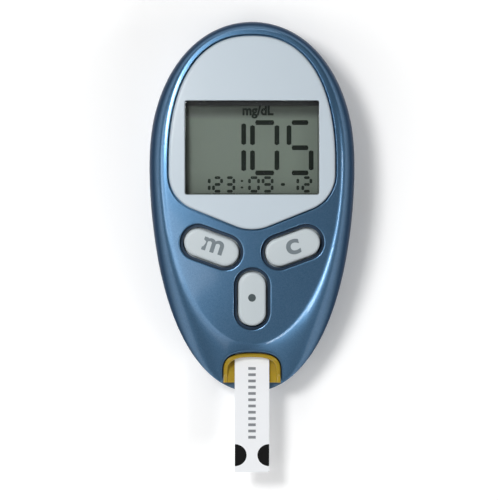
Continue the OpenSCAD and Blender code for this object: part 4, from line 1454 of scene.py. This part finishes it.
def add_backdrop():
    """A low white wall round the floor, behind the object in side views."""
    sides = BACKDROP_SIDES
    turn = np.linspace(0, 2 * math.pi, sides, endpoint=False)
    x, y = BACKDROP_RADIUS * np.cos(turn), BACKDROP_RADIUS * np.sin(turn)
    points = np.vstack([at_height(x, y, z) for z in (-BACKDROP_HEIGHT, BACKDROP_HEIGHT)])
    i = np.arange(sides)
    j = (i + 1) % sides
    faces = np.stack([j, i, i + sides, j + sides], -1)
    finish = stage_finish("white wall", WALL_LIFT, WALL_LIFT)
    wall = stage_object("backdrop", points.tolist(), faces.tolist(), finish)


def add_lamp(name, azimuth, elevation, distance, size, power):
    """A rectangular area lamp aimed at the object, its first side level. The azimuth goes from +X towards
    +Y."""
    data = bpy.data.lights.new(name, "AREA")
    data.shape = "RECTANGLE"
    data.size, data.size_y = size
    data.energy = power
    obj = bpy.data.objects.new(name, data)
    bpy.context.scene.collection.objects.link(obj)
    a, e = math.radians(azimuth), math.radians(elevation)
    place = Vector((math.cos(a) * math.cos(e), math.sin(a) * math.cos(e), math.sin(e))) * distance
    obj.location = place
    obj.rotation_euler = (-place).to_track_quat("-Z", "Y").to_euler()


def add_camera():
    """A long lens over the object, that sees PICTURE_WIDTH at the height of the joint."""
    data = bpy.data.cameras.new("camera")
    data.lens, data.sensor_width = LENS, SENSOR
    data.clip_end = FAR_CLIP
    camera = bpy.data.objects.new("camera", data)
    bpy.context.scene.collection.objects.link(camera)
    camera.location = (*PICTURE_MIDDLE, SPLIT_Z * MM + PICTURE_WIDTH * LENS / SENSOR)
    bpy.context.scene.camera = camera


class METER_OT_stage(Builder, bpy.types.Operator):
    """Set the pale floor, the soft studio lamps, the world and the camera"""

    bl_idname = "meter.stage"
    bl_label = "Stage"

    def build(self, c, s):
        bpy.context.scene.view_settings.view_transform = "Standard"
        add_floor()
        add_backdrop()
        world = bpy.data.worlds.new("studio")
        world.use_nodes = True
        world.node_tree.nodes["Background"].inputs["Color"].default_value = solid(WORLD_GREY)
        bpy.context.scene.world = world
        for numbers in LAMPS:
            add_lamp(*numbers)
        add_camera()


# ---- Panel and registration ----

OPERATORS = (
    METER_OT_stage, METER_OT_front_cover, METER_OT_rear_cover, METER_OT_face_panel, METER_OT_display,
    METER_OT_keys, METER_OT_strip_port, METER_OT_test_strip, METER_OT_fittings,
)


class METER_PT_build(bpy.types.Panel):
    """Buttons for every group of pieces of the meter"""

    bl_label = "Blood glucose meter"
    bl_idname = "METER_PT_build"
    bl_space_type = "VIEW_3D"
    bl_region_type = "UI"
    bl_category = "Meter"

    def draw(self, context):
        for operator in OPERATORS:
            self.layout.operator(operator.bl_idname)


CLASSES = (MeterSizes, MeterColours, *OPERATORS, METER_PT_build)


def register():
    for cls in CLASSES:
        bpy.utils.register_class(cls)
    bpy.types.Scene.meter_sizes = bpy.props.PointerProperty(type=MeterSizes)
    bpy.types.Scene.meter_colours = bpy.props.PointerProperty(type=MeterColours)


def unregister():
    del bpy.types.Scene.meter_sizes
    del bpy.types.Scene.meter_colours
    for cls in reversed(CLASSES):
        bpy.utils.unregister_class(cls)


def main():
    register()
    for operator in OPERATORS:
        group, name = operator.bl_idname.split(".")
        getattr(getattr(bpy.ops, group), name)()


if __name__ == "__main__":
    main()
